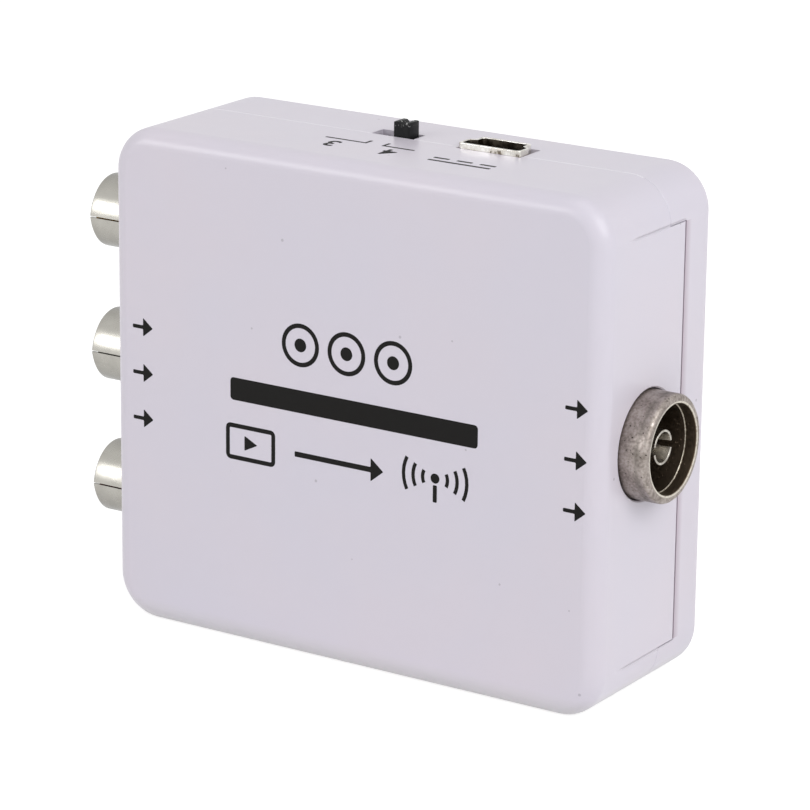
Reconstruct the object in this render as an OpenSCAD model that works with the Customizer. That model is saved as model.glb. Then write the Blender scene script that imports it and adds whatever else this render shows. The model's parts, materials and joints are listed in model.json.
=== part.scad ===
// Radio-frequency modulator: a small box that takes three phono plugs on its left side and an
// aerial plug on its right side, with a two-position channel switch and a five-pin power
// socket on its top side. All lengths are in millimetres.
// X runs from the phono side to the aerial side, Y from the front face to the back, and Z up.
// The origin is the middle of the bottom side, on which the box stands.

/* [Case] */
// Outside width of the case, side to side
case_w = 62.3; // [60:0.1:70]
// Outside depth of the case, front to back
case_d = 22.2; // [18.4:0.1:28]
// Outside height of the case, bottom to top
case_h = 56; // [54:0.1:64]
// Radius of the four corners seen from the front
corner_r = 5; // [4.5:0.1:7]
// Thickness of every case wall
wall = 1.6; // [1.3:0.05:1.9]
// Depth of the front shell, from the front face to the joint line
front_shell_d = 13.1; // [12.8:0.1:13.6]
// Rounding of the front edges
front_fillet = 2; // [1:0.1:2.4]
// Rounding of the back edges
back_fillet = 1.5; // [0.8:0.1:2.4]
// Rounding of the two shell edges that meet at the joint line
edge_break = 0.15; // [0.05:0.01:0.25]
// Height of the lip that centres the shells on each other
lip_h = 1.2; // [0.8:0.1:1.6]
// Thickness of that lip
lip_t = 0.7; // [0.5:0.05:0.9]
// Clearance round the lip
lip_gap = 0.1; // [0.05:0.01:0.2]
// Radius of the snap beads on the lip
bead_r = 0.28; // [0.15:0.01:0.35]
// Length of the snap beads
bead_l = 7; // [4:0.5:9]
// Thickness of the ribs inside the front shell
rib_t = 1.2; // [0.8:0.1:1.6]
// How far each side wall of the front shell runs on past the holes for the phono barrels
tongue_reach = 0.75; // [0.4:0.05:1.2]
// Gap between the back edge of a side wall and the rear shell
tongue_gap = 0.25; // [0.1:0.05:0.3]
// Diameter of the inside posts that clamp the board
post_od = 4.4; // [3.8:0.1:5]
// Diameter of the pegs on those posts
peg_od = 2; // [1.4:0.1:2.2]
// Distance of the posts from the middle of the case, sideways
post_x = 17; // [16.4:0.1:18]
// Distance of the posts from the inside of the top and bottom walls
post_inset = 3.2; // [2.8:0.1:5]

/* [Circuit board] */
// Distance from the middle of the case's depth back to the front of the board
board_setback = 5.3; // [5:0.05:5.6]
// Thickness of the board
board_t = 1.2; // [0.8:0.1:1.6]
// Gap between the edge of the board and the case walls
board_gap = 0.35; // [0.2:0.05:0.6]

/* [Phono sockets] */
// Outside diameter of a phono barrel
phono_od = 8.3; // [8:0.05:8.6]
// Thickness of the rolled metal of a barrel
phono_t = 0.35; // [0.25:0.05:0.5]
// How far the barrels stand out of the case
phono_reach = 8.2; // [6:0.1:9]
// Distance from one barrel to the next
phono_pitch = 15.6; // [14:0.1:16]
// Height of the barrels' axes above the board
phono_rise = 5.3; // [5.1:0.1:5.6]
// How far the middle barrel lies below the middle of the case
phono_drop = 0.4; // [0:0.1:1]
// Depth of the moulded block behind the barrels
block_d = 9; // [8:0.1:9.4]
// Height of that block above the board
block_h = 10.6; // [10.4:0.1:11]
// Width of the block at each barrel
block_cell = 11.2; // [10.8:0.1:12]

/* [Aerial socket] */
// Outside diameter of the cast ring
ring_od = 11.7; // [11.5:0.1:12.4]
// Bore of the ring, into which the plug goes
ring_bore = 9.5; // [9:0.05:9.8]
// Wider diameter at the mouth of the ring
ring_mouth = 9.7; // [9.65:0.05:10]
// Depth of the wider mouth
ring_mouth_d = 1.3; // [0.6:0.05:1.8]
// How far the ring stands out of the case
ring_reach = 3.15; // [2.5:0.05:5]
// How far the ring's axis lies behind the middle of the space before the board
ring_sink = 0.45; // [-0.8:0.05:0.6]
// How far the ring lies above the middle of the case
ring_lift = 0.5; // [0:0.1:1.4]
// Outside diameter of the split centre contact
pin_od = 3.8; // [3.4:0.1:4.2]
// Bore of the split centre contact
pin_bore = 2.5; // [2.3:0.05:2.7]

/* [Power socket] */
// Width of the metal sleeve at its wide side
usb_w = 7.7; // [7.5:0.05:8]
// Height of the sleeve above the board
usb_h = 3.9; // [3.7:0.05:4]
// Length of the sleeve
usb_l = 9.2; // [8.6:0.1:10]
// How far the sleeve stands out of the case
usb_reach = 0.6; // [0.2:0.05:1]
// Place of the socket, sideways from the middle of the case
usb_x = 9.25; // [9.1:0.05:9.9]
// Thickness of the sleeve
usb_t = 0.3; // [0.2:0.05:0.4]

/* [Channel switch] */
// Place of the switch, sideways from the middle of the case
switch_x = -3.2; // [-4:0.05:-1.6]
// Length of the switch body
switch_l = 8.6; // [8:0.1:9]
// Height of the switch body above the board
switch_h = 4.3; // [4:0.05:4.4]
// Depth of the switch body, below the top wall
switch_d = 3.9; // [3.7:0.1:5]
// Travel of the slider
slider_travel = 2; // [1:0.1:2.4]
// Width of the slider's knob, along its travel
knob_w = 2; // [1.6:0.1:2.4]
// Depth of the knob, front to back
knob_d = 1.95; // [1.6:0.05:2]
// How far the knob stands out of the case
knob_reach = 1.6; // [0.8:0.1:2.4]
// Depth of the notch in the top of the knob
notch_d = 0.45; // [0.2:0.05:0.7]
// Clearance round the moving slider
slide_gap = 0.15; // [0.08:0.01:0.2]

/* [Hidden] */
$fn = 64;
// Overrun of every cut
over = 0.5;
// Gap between seated pieces
seat = 0.03;
// Gap between a connector and the hole it stands in
hole_gap = 0.15;

// Planes of the case
front_y = -case_d / 2;
back_y = case_d / 2;
split_y = front_y + front_shell_d;
side_x = case_w / 2;
mid_z = case_h / 2;
inner_x = side_x - wall;
inner_top_z = case_h - wall;
inner_fillet = 0.4;
// Chamfer round the holes in the side walls
hole_break = 0.15;
// Snap beads: clearance in their grooves, and places from the middle of the case
bead_gap = 0.05;
bead_y = split_y + lip_h - 2 * bead_r;
bead_x = post_x + post_od / 2 - bead_l / 2;

// The board and its four posts
board_y = board_setback;
board_back_y = board_y + board_t;
board_w = case_w - 2 * wall - 2 * board_gap;
board_h = case_h - 2 * wall - 2 * board_gap;
post_z = mid_z - wall - post_inset;
peg_past_board = 2;
peg_gap = 0.05;
board_hole_gap = 0.2;
// How far soldered legs stand out of the back of the board
leg_past_board = 0.9;
leg_t = 0.5;
leg_gap = 0.1;

// Phono sockets
phono_y = board_y - phono_rise;
tongue_y = phono_y + phono_od / 2 + hole_gap + tongue_reach;
phono_x = -inner_x + seat;
phono_zs = [for (i = [1, 0, -1]) mid_z - phono_drop + i * phono_pitch];
barrel_in = 2.6;
flange_rim = 0.45;
flange_r = phono_od / 2 + flange_rim;
flange_t = 0.4;
barrel_lip_r = 0.15;
// Each barrel has a narrower neck, which starts just outside the case
neck_step = 0.2;
neck_gap = 0.1;
neck_r = phono_od / 2 - neck_step;
neck_x = -side_x - neck_gap;
web_h = 4;
web_d = 5;
web_peg_r = 0.8;
web_peg_x = phono_x + web_d / 2;
web_peg_zs = [for (side = [-1, 1]) phono_zs[1] + side * phono_pitch / 2];
insulator_recess = 0.5;
insulator_tail_r = 3;
contact_r = 1.95;
contact_bore_r = 1.62;
contact_recess = 1.3;
contact_depth = 8.8;
seam_gap = 0.16;
stem_r = 0.45;
stem_past = 2 * stem_r + leg_gap;
stem_x = phono_x + block_d + stem_past;

// Aerial socket
ring_y = (front_y + wall + board_y) / 2 + ring_sink;
ring_foot_h = board_y - ring_y;
ring_z = mid_z + ring_lift;
ring_mouth_x = side_x + ring_reach;
ring_bore_d = 10;
ring_back_t = 2.2;
ring_rim_r = 0.55;
ring_lip = 0.12;
ring_foot_w = 10.4;
ring_leg_r = 0.55;
ring_leg_inset = 1.3;
disc_t = 2.2;
disc_boss_r = 2.7;
disc_boss_h = 2;
disc_tail_r = 2.1;
pin_recess = 1.25;
pin_depth = 5.5;
pin_slit = 0.8;
ring_floor_x = ring_mouth_x - ring_bore_d;
ring_back_x = ring_floor_x - ring_back_t;
ring_foot_l = inner_x - seat - ring_back_x;
ring_leg_xs = [ring_back_x + ring_leg_inset, inner_x - seat - ring_leg_inset];
ring_leg_zs = [for (side = [-1, 1]) ring_z + side * (ring_foot_w / 2 - ring_leg_inset)];
pin_tail_x = ring_back_x - stem_past;

// Power socket
usb_y = board_y - usb_h / 2;
usb_mouth_z = case_h + usb_reach;
usb_back_z = usb_mouth_z - usb_l;
usb_narrow = 0.75;
usb_shoulder = 0.5;
usb_corner = 0.45;
usb_plug_l = 2.4;
usb_blade_w = 4.6;
usb_blade_t = 0.9;
usb_blade_recess = 1.2;
usb_pin_w = 0.35;
usb_pin_t = 0.15;
usb_pin_pitch = 0.8;
usb_tail = 1.2;
usb_tab_w = 1;
usb_tab_l = 1.4;

// Channel switch
switch_y = board_y - switch_h / 2;
switch_top_z = inner_top_z - lip_gap;
frame_t = 0.3;
frame_leg_w = 1;
frame_leg_z = switch_top_z - switch_d / 2;
frame_leg_xs = [for (side = [-1, 1]) switch_x + side * (switch_l - frame_t) / 2];
base_t = 1;
knob_x = switch_x + slider_travel / 2;
knob_top_z = case_h + knob_reach;
slot_l = knob_w + slider_travel + 2 * slide_gap;
slot_end_gap = 0.55;
case_slot_l = slot_l + 2 * slot_end_gap;
foot_l = 4.2;
foot_h = 1.3;
wiper_t = 0.15;
wiper_h = 0.7;
terminal_pitch = 2;
terminal_head = 0.2;
terminal_z = switch_top_z - switch_d - leg_t;

// Holes in the board for the soldered legs, each [x, z, radius]
leg_holes = concat(
    [for (z = phono_zs) [phono_x + barrel_in - flange_t / 2, z, leg_t + leg_gap]],
    [for (z = phono_zs) [stem_x - stem_r, z, stem_r + leg_gap]],
    [for (x = ring_leg_xs, z = ring_leg_zs) [x, z, ring_leg_r + leg_gap]],
    [[pin_tail_x + stem_r, ring_z, stem_r + leg_gap]],
    [for (z = web_peg_zs) [web_peg_x, z, web_peg_r + leg_gap]],
    [for (x = frame_leg_xs) [x, frame_leg_z, frame_leg_w / 2 + leg_gap]],
    [for (i = [-1, 0, 1]) [switch_x + i * terminal_pitch, terminal_z, leg_t / 2 + 2 * leg_gap]]
);

// Parts on the board
chip_lead_pitch = 1.27;
chip_w = 3.9;
chip_t = 1.5;
chip_lift = 0.15;
chip_lead_w = 0.42;
chip_lead_t = 0.2;
chip_foot = 1.05;
crystal_l = 11.2;
crystal_w = 4.6;
crystal_h = 3.4;
crystal_rim = 0.35;
crystal_rim_t = 0.5;
can_r = 3.15;
can_h = 7;
can_base_t = 0.9;
can_groove = 0.25;
regulator_w = 4.5;
regulator_l = 2.5;
coil_w = 4.2;
coil_h = 2.1;
coil_cap = 0.5;
coil_neck_r = 1.5;
chip_part_l = 1.6;
chip_part_w = 0.8;
chip_part_t = 0.55;
chip_cap_t = 0.8;
chip_end = 0.35;

// Places on the board, as shares of its width and height from its middle
modulator_share = [0.06, -0.02];
controller_share = [-0.17, 0.22];
crystal_share = [-0.1, -0.25];
can_shares = [[-0.2, -0.02], [0.2, -0.32]];
regulator_share = [0.26, 0.2];
coil_share = [0.19, -0.13];
resistor_shares = [[-0.05, 0.24], [-0.05, 0.29], [0.17, 0.06], [0.17, 0.12], [-0.24, 0.3], [0.08, -0.37]];
capacitor_shares = [[-0.05, 0.13], [0.08, 0.24], [0.08, 0.29], [-0.22, -0.33], [0.02, -0.37],
    [-0.22, 0.14]];

// One edge of a slab in section: reach outwards, d front to back, with rounded corners
module edge_outline(reach, d, front_r, back_r) {
    translate([0, front_r]) square([reach, d - front_r - back_r]);
    if (front_r > 0) {
        square([reach - front_r, front_r]);
        translate([reach - front_r, front_r]) quarter_disc(front_r, -90);
    }
    if (back_r > 0) {
        translate([0, d - back_r]) square([reach - back_r, back_r]);
        translate([reach - back_r, d - back_r]) quarter_disc(back_r, 0);
    }
}

module quarter_disc(r, turn) {
    rotate(turn) intersection() {
        circle(r);
        square(r);
    }
}

// A slab with round corners seen from the front, standing about the middle of the case
module slab(y, d, inset, front_r, back_r) {
    half_w = side_x - inset;
    half_h = mid_z - inset;
    r = corner_r - inset;
    translate([0, y, mid_z]) for (side = [0, 1]) {
        mirror([side, 0, 0]) translate([0, 0, r - half_h])
            linear_extrude(2 * half_h - 2 * r) edge_outline(half_w, d, front_r, back_r);
        mirror([0, 0, side]) translate([half_w - r, 0, half_h - r]) rotate([0, -90, 0])
            linear_extrude(2 * half_w - 2 * r) edge_outline(r, d, front_r, back_r);
        for (end = [0, 1]) mirror([side, 0, 0]) mirror([0, 0, end])
            translate([half_w - r, 0, r - half_h]) rotate([-90, 0, 0])
                rotate_extrude(angle = 90) edge_outline(r, d, front_r, back_r);
    }
}

// A box given by its lowest corner and its size
module block(corner, size) translate(corner) cube(size);

// A box given by the middle of its back face and its size
module on_board(x, z, size) translate([x - size.x / 2, board_y - size.y, z - size.z / 2]) cube(size);

// A cylinder along X from x to x + l, and one along Y
module rod_x(x, y, z, r, l) translate([x, y, z]) rotate([0, 90, 0]) cylinder(h = l, r = r);
module rod_y(x, y, z, r, l) translate([x, y, z]) rotate([-90, 0, 0]) cylinder(h = l, r = r);

// A cone along X, from radius r1 at x to r2 at x + l
module cone_x(x, y, z, r1, r2, l) translate([x, y, z]) rotate([0, 90, 0]) cylinder(h = l, r1 = r1, r2 = r2);

module at_posts() for (x = [-post_x, post_x], z = [mid_z - post_z, mid_z + post_z])
    translate([x, 0, z]) children();

// What the connectors and the switch need cut out of the shells
module connector_cuts() {
    phono_r = phono_od / 2 + hole_gap;
    ring_r = ring_od / 2 + hole_gap;
    edge = hole_break + over;
    for (z = phono_zs) {
        rod_x(-side_x - over, phono_y, z, phono_r, wall + 2 * over);
        cone_x(-side_x - over, phono_y, z, phono_r + edge, phono_r, edge);
    }
    rod_x(inner_x - over, ring_y, ring_z, ring_r, wall + 2 * over);
    cone_x(side_x - hole_break, ring_y, ring_z, ring_r, ring_r + edge, edge);
    block([usb_x - usb_w / 2 - hole_gap, usb_y - usb_h / 2 - hole_gap, inner_top_z - over],
        [usb_w + 2 * hole_gap, usb_h + 2 * hole_gap, wall + 2 * over]);
    // The slot for the knob is open to the joint line
    slot_y = min(split_y, switch_y - knob_d / 2 - slide_gap);
    block([switch_x - case_slot_l / 2, slot_y, inner_top_z - over],
        [case_slot_l, switch_y + knob_d / 2 + slide_gap - slot_y, wall + 2 * over]);
}

// Half-round beads on the lip, two along the top and two along the bottom
module snap_beads(gap) for (x = [-bead_x, bead_x], end = [0, 1]) translate([0, 0, mid_z])
    mirror([0, 0, end]) rod_x(x - bead_l / 2 - gap, bead_y, mid_z - wall + lip_t, bead_r + gap, bead_l + 2 * gap);

// Ribs that hold the phono block and the cast ring against the board
module front_ribs() {
    y = front_y + wall - over;
    for (z = phono_zs)
        block([phono_x + rib_t, y, z - rib_t / 2], [block_d - 2 * rib_t, board_y - block_h - seat - y, rib_t]);
    difference() {
        block([ring_back_x + (ring_foot_l - rib_t) / 2, y, ring_z - ring_od / 2],
            [rib_t, ring_y - ring_od / 4 - y, ring_od]);
        rod_x(ring_back_x, ring_y, ring_z, ring_od / 2 + seat, ring_foot_l);
    }
}

module front_shell() color("ghostwhite") difference() {
    union() {
        difference() {
            slab(front_y, front_shell_d, 0, front_fillet, edge_break);
            slab(front_y + wall, front_shell_d, wall, inner_fillet, 0);
        }
        difference() {
            slab(split_y - wall, wall + lip_h, wall - lip_t, 0, 0);
            slab(split_y - wall - over, wall + lip_h + 2 * over, wall, 0, 0);
        }
        snap_beads(0);
        front_ribs();
        for (x = [-side_x, inner_x])
            block([x, split_y - wall, corner_r], [wall, tongue_y - split_y + wall, case_h - 2 * corner_r]);
        at_posts() rod_y(0, front_y + wall - over, 0, post_od / 2, board_y - seat - front_y - wall + over);
        at_posts() rod_y(0, front_y + wall, 0, peg_od / 2, board_back_y + peg_past_board - front_y - wall);
    }
    connector_cuts();
}

module rear_shell() color("ghostwhite") difference() {
    union() {
        difference() {
            slab(split_y, back_y - split_y, 0, edge_break, back_fillet);
            slab(split_y - over, back_y - wall - split_y + over, wall, 0, inner_fillet);
        }
        at_posts() rod_y(0, board_back_y + seat, 0, post_od / 2, back_y - wall + over - board_back_y - seat);
    }
    slab(split_y - over, lip_h + lip_gap + over, wall - lip_t - lip_gap, 0, 0);
    snap_beads(bead_gap);
    for (x = [-side_x - over, inner_x - over])
        block([x, split_y - over, corner_r - lip_gap],
            [wall + 2 * over, over + tongue_y + tongue_gap - split_y, case_h - 2 * corner_r + 2 * lip_gap]);
    at_posts() rod_y(0, board_y, 0, peg_od / 2 + peg_gap, board_t + peg_past_board + lip_gap);
    connector_cuts();
}

module circuit_board() color("seagreen") difference() {
    block([-board_w / 2, board_y, mid_z - board_h / 2], [board_w, board_t, board_h]);
    at_posts() rod_y(0, board_y - over, 0, peg_od / 2 + board_hole_gap, board_t + 2 * over);
    for (hole = leg_holes) rod_y(hole[0], board_y - over, hole[1], hole[2], board_t + 2 * over);
    // The corners follow the round corners of the case
    for (side = [0, 1], end = [0, 1]) translate([0, 0, mid_z]) mirror([side, 0, 0]) mirror([0, 0, end])
        translate([board_w / 2, board_y - over, board_h / 2]) rotate([0, 45, 0])
            cube([corner_r, 2 * (board_t + 2 * over), corner_r], center = true);
}

module phono_block() color("dimgray") difference() {
    union() {
        for (z = phono_zs)
            block([phono_x, board_y - block_h, z - block_cell / 2], [block_d, block_h, block_cell]);
        block([phono_x, board_y - web_h, min(phono_zs)], [web_d, web_h, 2 * phono_pitch]);
        for (z = web_peg_zs) rod_y(web_peg_x, board_y - over, z, web_peg_r, over + board_t + leg_gap);
    }
    for (z = phono_zs) {
        rod_x(phono_x - over, phono_y, z, neck_r + seat, barrel_in + over);
        rod_x(phono_x, phono_y, z, insulator_tail_r + seat, block_d + over);
        flange_slot(z);
    }
}

// The slot through which a barrel's flange and leg drop in from the board side
module flange_slot(z) {
    x = phono_x + barrel_in - flange_t - seat;
    rod_x(x, phono_y, z, flange_r + seat, flange_t + 2 * seat);
    block([x, phono_y, z - flange_r - seat], [flange_t + 2 * seat, phono_rise + over, 2 * (flange_r + seat)]);
}

module phono_barrel(z) color("silver") difference() {
    union() {
        translate([-side_x - phono_reach, phono_y, z]) rotate([0, 90, 0]) rotate_extrude()
            edge_outline(phono_od / 2, phono_reach - neck_gap, barrel_lip_r, 0);
        rod_x(neck_x, phono_y, z, neck_r, phono_x + barrel_in - neck_x);
        rod_x(phono_x + barrel_in - flange_t, phono_y, z, flange_r, flange_t);
        block([phono_x + barrel_in - flange_t, phono_y + phono_od / 2, z - leg_t],
            [flange_t, phono_rise - phono_od / 2 + board_t + leg_past_board, 2 * leg_t]);
    }
    rod_x(-side_x - phono_reach - over, phono_y, z, phono_od / 2 - phono_t,
        phono_reach + over - neck_gap - phono_t);
    rod_x(-side_x - phono_reach, phono_y, z, neck_r - phono_t,
        side_x + phono_reach + phono_x + barrel_in + over);
    cone_x(-side_x - phono_reach - over, phono_y, z, phono_od / 2 - phono_t + barrel_lip_r + over,
        phono_od / 2 - phono_t, barrel_lip_r + over);
    block([-side_x - phono_reach - over, phono_y - phono_od, z - seam_gap / 2],
        [phono_reach + over, phono_od, seam_gap]);
}

module phono_insulator(z, shade) color(shade) difference() {
    union() {
        rod_x(-side_x - phono_reach + insulator_recess, phono_y, z, phono_od / 2 - phono_t - seat,
            phono_reach - insulator_recess - neck_gap - phono_t - seat);
        rod_x(-side_x - phono_reach + insulator_recess, phono_y, z, neck_r - phono_t - seat,
            side_x + phono_reach - insulator_recess + phono_x + barrel_in);
        rod_x(phono_x, phono_y, z, insulator_tail_r, block_d);
    }
    rod_x(-side_x - phono_reach, phono_y, z, contact_r + seat, contact_recess + contact_depth + seat);
    rod_x(-side_x, phono_y, z, stem_r + seat, side_x + phono_x + block_d + over);
}

module phono_contact(z) color("goldenrod") {
    x = -side_x - phono_reach + contact_recess;
    difference() {
        rod_x(x, phono_y, z, contact_r, contact_depth);
        rod_x(x - over, phono_y, z, contact_bore_r, contact_depth - 2 * leg_t + over);
    }
    rod_x(x + contact_depth, phono_y, z, stem_r, stem_x - x - contact_depth);
    rod_y(stem_x - stem_r, phono_y, z, stem_r, phono_rise + board_t + leg_past_board);
}

module aerial_ring() color("darkgray") {
    l = ring_bore_d + ring_back_t;
    difference() {
        union() {
            translate([ring_back_x, ring_y, ring_z]) rotate([0, 90, 0])
                rotate_extrude() edge_outline(ring_od / 2, l, 0, ring_rim_r);
            block([ring_back_x, ring_y, ring_z - ring_foot_w / 2], [ring_foot_l, ring_foot_h, ring_foot_w]);
            for (x = ring_leg_xs, z = ring_leg_zs)
                rod_y(x, board_y - over, z, ring_leg_r, over + board_t + leg_past_board);
        }
        rod_x(ring_floor_x, ring_y, ring_z, ring_bore / 2, ring_bore_d + over);
        rod_x(ring_mouth_x - ring_mouth_d, ring_y, ring_z, ring_mouth / 2, ring_mouth_d + over);
        cone_x(ring_mouth_x - ring_lip, ring_y, ring_z, ring_mouth / 2, ring_mouth / 2 + ring_lip + over,
            ring_lip + over);
        rod_x(ring_back_x - over, ring_y, ring_z, disc_tail_r + seat, ring_back_t + 2 * over);
    }
}

module aerial_insulator() color("dimgray") difference() {
    union() {
        rod_x(ring_floor_x, ring_y, ring_z, ring_bore / 2 - seat, disc_t);
        rod_x(ring_floor_x, ring_y, ring_z, disc_boss_r, disc_t + disc_boss_h);
        rod_x(ring_back_x, ring_y, ring_z, disc_tail_r, ring_back_t);
    }
    rod_x(ring_floor_x + disc_t, ring_y, ring_z, pin_od / 2 + seat, disc_boss_h + over);
    rod_x(ring_back_x - over, ring_y, ring_z, stem_r + seat, ring_back_t + disc_t + 2 * over);
}

module aerial_contact() color("silver") {
    tip_x = ring_mouth_x - pin_recess;
    back_x = ring_floor_x + disc_t;
    difference() {
        rod_x(back_x, ring_y, ring_z, pin_od / 2, tip_x - back_x);
        rod_x(tip_x - pin_depth, ring_y, ring_z, pin_bore / 2, pin_depth + over);
        block([tip_x - pin_depth, ring_y - pin_od, ring_z - pin_slit / 2],
            [pin_depth + over, 2 * pin_od, pin_slit]);
    }
    rod_x(pin_tail_x, ring_y, ring_z, stem_r, back_x - pin_tail_x);
    rod_y(pin_tail_x + stem_r, ring_y, ring_z, stem_r, ring_foot_h + board_t + leg_past_board);
}

// Section of the power socket, wide at the front and stepped in towards the board
module usb_outline(inset) {
    half = usb_w / 2 - inset;
    front = usb_y - usb_h / 2 + inset;
    back = usb_y + usb_h / 2 - inset;
    offset(r = usb_corner, $fn = 24) offset(delta = -usb_corner) polygon([
        [-half, front], [half, front], [half, usb_y],
        [half - usb_narrow, usb_y + usb_shoulder], [half - usb_narrow, back],
        [usb_narrow - half, back], [usb_narrow - half, usb_y + usb_shoulder], [-half, usb_y]]);
}

module usb_sleeve() color("gainsboro") translate([usb_x, 0, usb_back_z]) {
    difference() {
        linear_extrude(usb_l) usb_outline(0);
        translate([0, 0, -over]) linear_extrude(usb_l + 2 * over) usb_outline(usb_t);
    }
    for (side = [0, 1], z = [usb_tab_l, usb_l - usb_reach - wall - 2 * usb_tab_l]) mirror([side, 0, 0])
        block([usb_w / 2 - usb_narrow - usb_t, board_y - usb_t, z], [usb_tab_w + usb_narrow, usb_t, usb_tab_l]);
}

module usb_insert() color("black") translate([usb_x, 0, usb_back_z]) {
    linear_extrude(usb_plug_l) usb_outline(usb_t + seat);
    block([-usb_blade_w / 2, usb_y - usb_blade_t / 2, 0], [usb_blade_w, usb_blade_t, usb_l - usb_blade_recess]);
}

module usb_contacts() color("goldenrod") for (i = [-2:2]) {
    x = usb_x + i * usb_pin_pitch - usb_pin_w / 2;
    block([x, usb_y + usb_blade_t / 2, usb_back_z + usb_plug_l],
        [usb_pin_w, usb_pin_t, usb_l - usb_blade_recess - usb_plug_l - usb_pin_pitch]);
    block([x, board_y - usb_pin_t, usb_back_z - usb_tail], [usb_pin_w, usb_pin_t, usb_tail - seat]);
}

module switch_frame() color("silver") difference() {
    z = switch_top_z - switch_d;
    union() {
        block([switch_x - switch_l / 2, board_y - switch_h, z], [switch_l, switch_h, switch_d]);
        frame_legs();
    }
    block([switch_x - switch_l / 2 + frame_t, board_y - switch_h + frame_t, z - over],
        [switch_l - 2 * frame_t, switch_h - 2 * frame_t, switch_d - frame_t + over]);
    block([switch_x - slot_l / 2, switch_y - knob_d / 2 - slide_gap, z],
        [slot_l, knob_d + 2 * slide_gap, switch_d + over]);
}

// The two legs of the frame, bent down through the board
module frame_legs() for (x = frame_leg_xs)
    block([x - frame_t / 2, board_y - frame_t, frame_leg_z - frame_leg_w / 2],
        [frame_t, frame_t + board_t + leg_past_board, frame_leg_w]);

module switch_base() color("sienna") difference() {
    inset = frame_t + seat;
    block([switch_x - switch_l / 2 + inset, board_y - switch_h + inset, switch_top_z - switch_d],
        [switch_l - 2 * inset, switch_h - 2 * inset, base_t]);
    for (i = [-1, 0, 1])
        translate([switch_x + i * terminal_pitch, switch_y, switch_top_z - switch_d - over])
            cylinder(h = base_t + 2 * over, r = leg_t / 2 + seat);
}

module switch_terminals() color("goldenrod") for (i = [-1, 0, 1]) {
    x = switch_x + i * terminal_pitch;
    base_z = switch_top_z - switch_d;
    translate([x, switch_y, terminal_z]) cylinder(h = base_z + base_t + seat - terminal_z, r = leg_t / 2);
    translate([x, switch_y, base_z + base_t + seat]) cylinder(h = terminal_head, r = leg_t);
    rod_y(x, switch_y, terminal_z, leg_t / 2, switch_h / 2 + board_t + leg_past_board);
}

module switch_slider() color("black") {
    foot_top_z = switch_top_z - frame_t - slide_gap;
    foot_d = switch_h - 2 * frame_t - 2 * slide_gap;
    difference() {
        union() {
            block([knob_x - knob_w / 2, switch_y - knob_d / 2, foot_top_z - foot_h / 2],
                [knob_w, knob_d, knob_top_z - foot_top_z + foot_h / 2]);
            block([knob_x - foot_l / 2, switch_y - foot_d / 2, foot_top_z - foot_h], [foot_l, foot_d, foot_h]);
        }
        translate([knob_x, switch_y, knob_top_z]) rotate([0, 45, 0])
            cube([notch_d * sqrt(2), knob_d + 2 * over, notch_d * sqrt(2)], center = true);
    }
}

// A bent strip clipped under the slider's foot, with two feet that wipe over the terminals
module switch_wiper() color("goldenrod") {
    top_z = switch_top_z - frame_t - slide_gap - foot_h;
    z = top_z - wiper_h;
    w = 2 * leg_t;
    block([knob_x - terminal_pitch / 2 - leg_t, switch_y - w / 2, top_z - wiper_t],
        [terminal_pitch + 2 * leg_t, w, wiper_t]);
    for (side = [-1, 1])
        block([knob_x + side * (terminal_pitch / 2) - leg_t, switch_y - w / 2, z], [2 * leg_t, w, wiper_h]);
}

// A moulded chip with bent leads along its two long sides, pins leads in all
module chip(share, pins) {
    x = share.x * board_w;
    z = mid_z + share.y * board_h;
    side_pins = pins / 2;
    l = side_pins * chip_lead_pitch;
    translate([0, -chip_lift, 0]) on_board(x, z, [chip_w, chip_t - chip_lift, l]);
    for (side = [-1, 1], i = [0 : side_pins - 1]) {
        lead_z = z + (i - (side_pins - 1) / 2) * chip_lead_pitch;
        lead_x = x + side * (chip_w / 2 + chip_foot / 2);
        on_board(lead_x + side * chip_foot / 4, lead_z, [chip_foot / 2, chip_lead_t, chip_lead_w]);
        on_board(lead_x, lead_z, [chip_lead_t, chip_t / 2, chip_lead_w]);
        translate([0, chip_lead_t - chip_t / 2, 0])
            on_board(x + side * (chip_w / 2 + chip_foot / 4), lead_z,
                [chip_foot / 2 + chip_lead_t, chip_lead_t, chip_lead_w]);
    }
}

module modulator_chip() color("darkslategray") chip(modulator_share, 16);

module controller_chip() color("darkslategray") chip(controller_share, 8);

module crystal() color("lightgray") {
    x = crystal_share.x * board_w;
    z = mid_z + crystal_share.y * board_h;
    for (layer = [[crystal_rim, crystal_rim_t], [0, crystal_h]]) {
        r = crystal_w / 2 + layer[0];
        for (side = [-1, 1]) rod_y(x + side * (crystal_l - crystal_w) / 2, board_y - layer[1], z, r, layer[1]);
        on_board(x, z, [crystal_l - crystal_w, layer[1], 2 * r]);
    }
}

module regulator() color("darkslategray") {
    x = regulator_share.x * board_w;
    z = mid_z + regulator_share.y * board_h;
    on_board(x, z, [regulator_w, chip_t, regulator_l]);
    for (i = [-1, 0, 1])
        on_board(x + i * chip_t, z - regulator_l / 2 - chip_foot / 2, [chip_lead_w, chip_lead_t, chip_foot]);
    on_board(x, z + regulator_l / 2 + chip_foot / 4, [regulator_w / 2, chip_lead_t, chip_foot / 2]);
}

module electrolytic_cans() for (share = can_shares) {
    x = share.x * board_w;
    z = mid_z + share.y * board_h;
    color("black") on_board(x, z, [2 * can_r, can_base_t, 2 * can_r]);
    color("silver") difference() {
        rod_y(x, board_y - can_h, z, can_r, can_h);
        translate([x, board_y - can_base_t - 2 * can_groove, z]) rotate([90, 0, 0])
            rotate_extrude() translate([can_r + can_groove / 2, 0]) circle(can_groove);
    }
}

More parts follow.
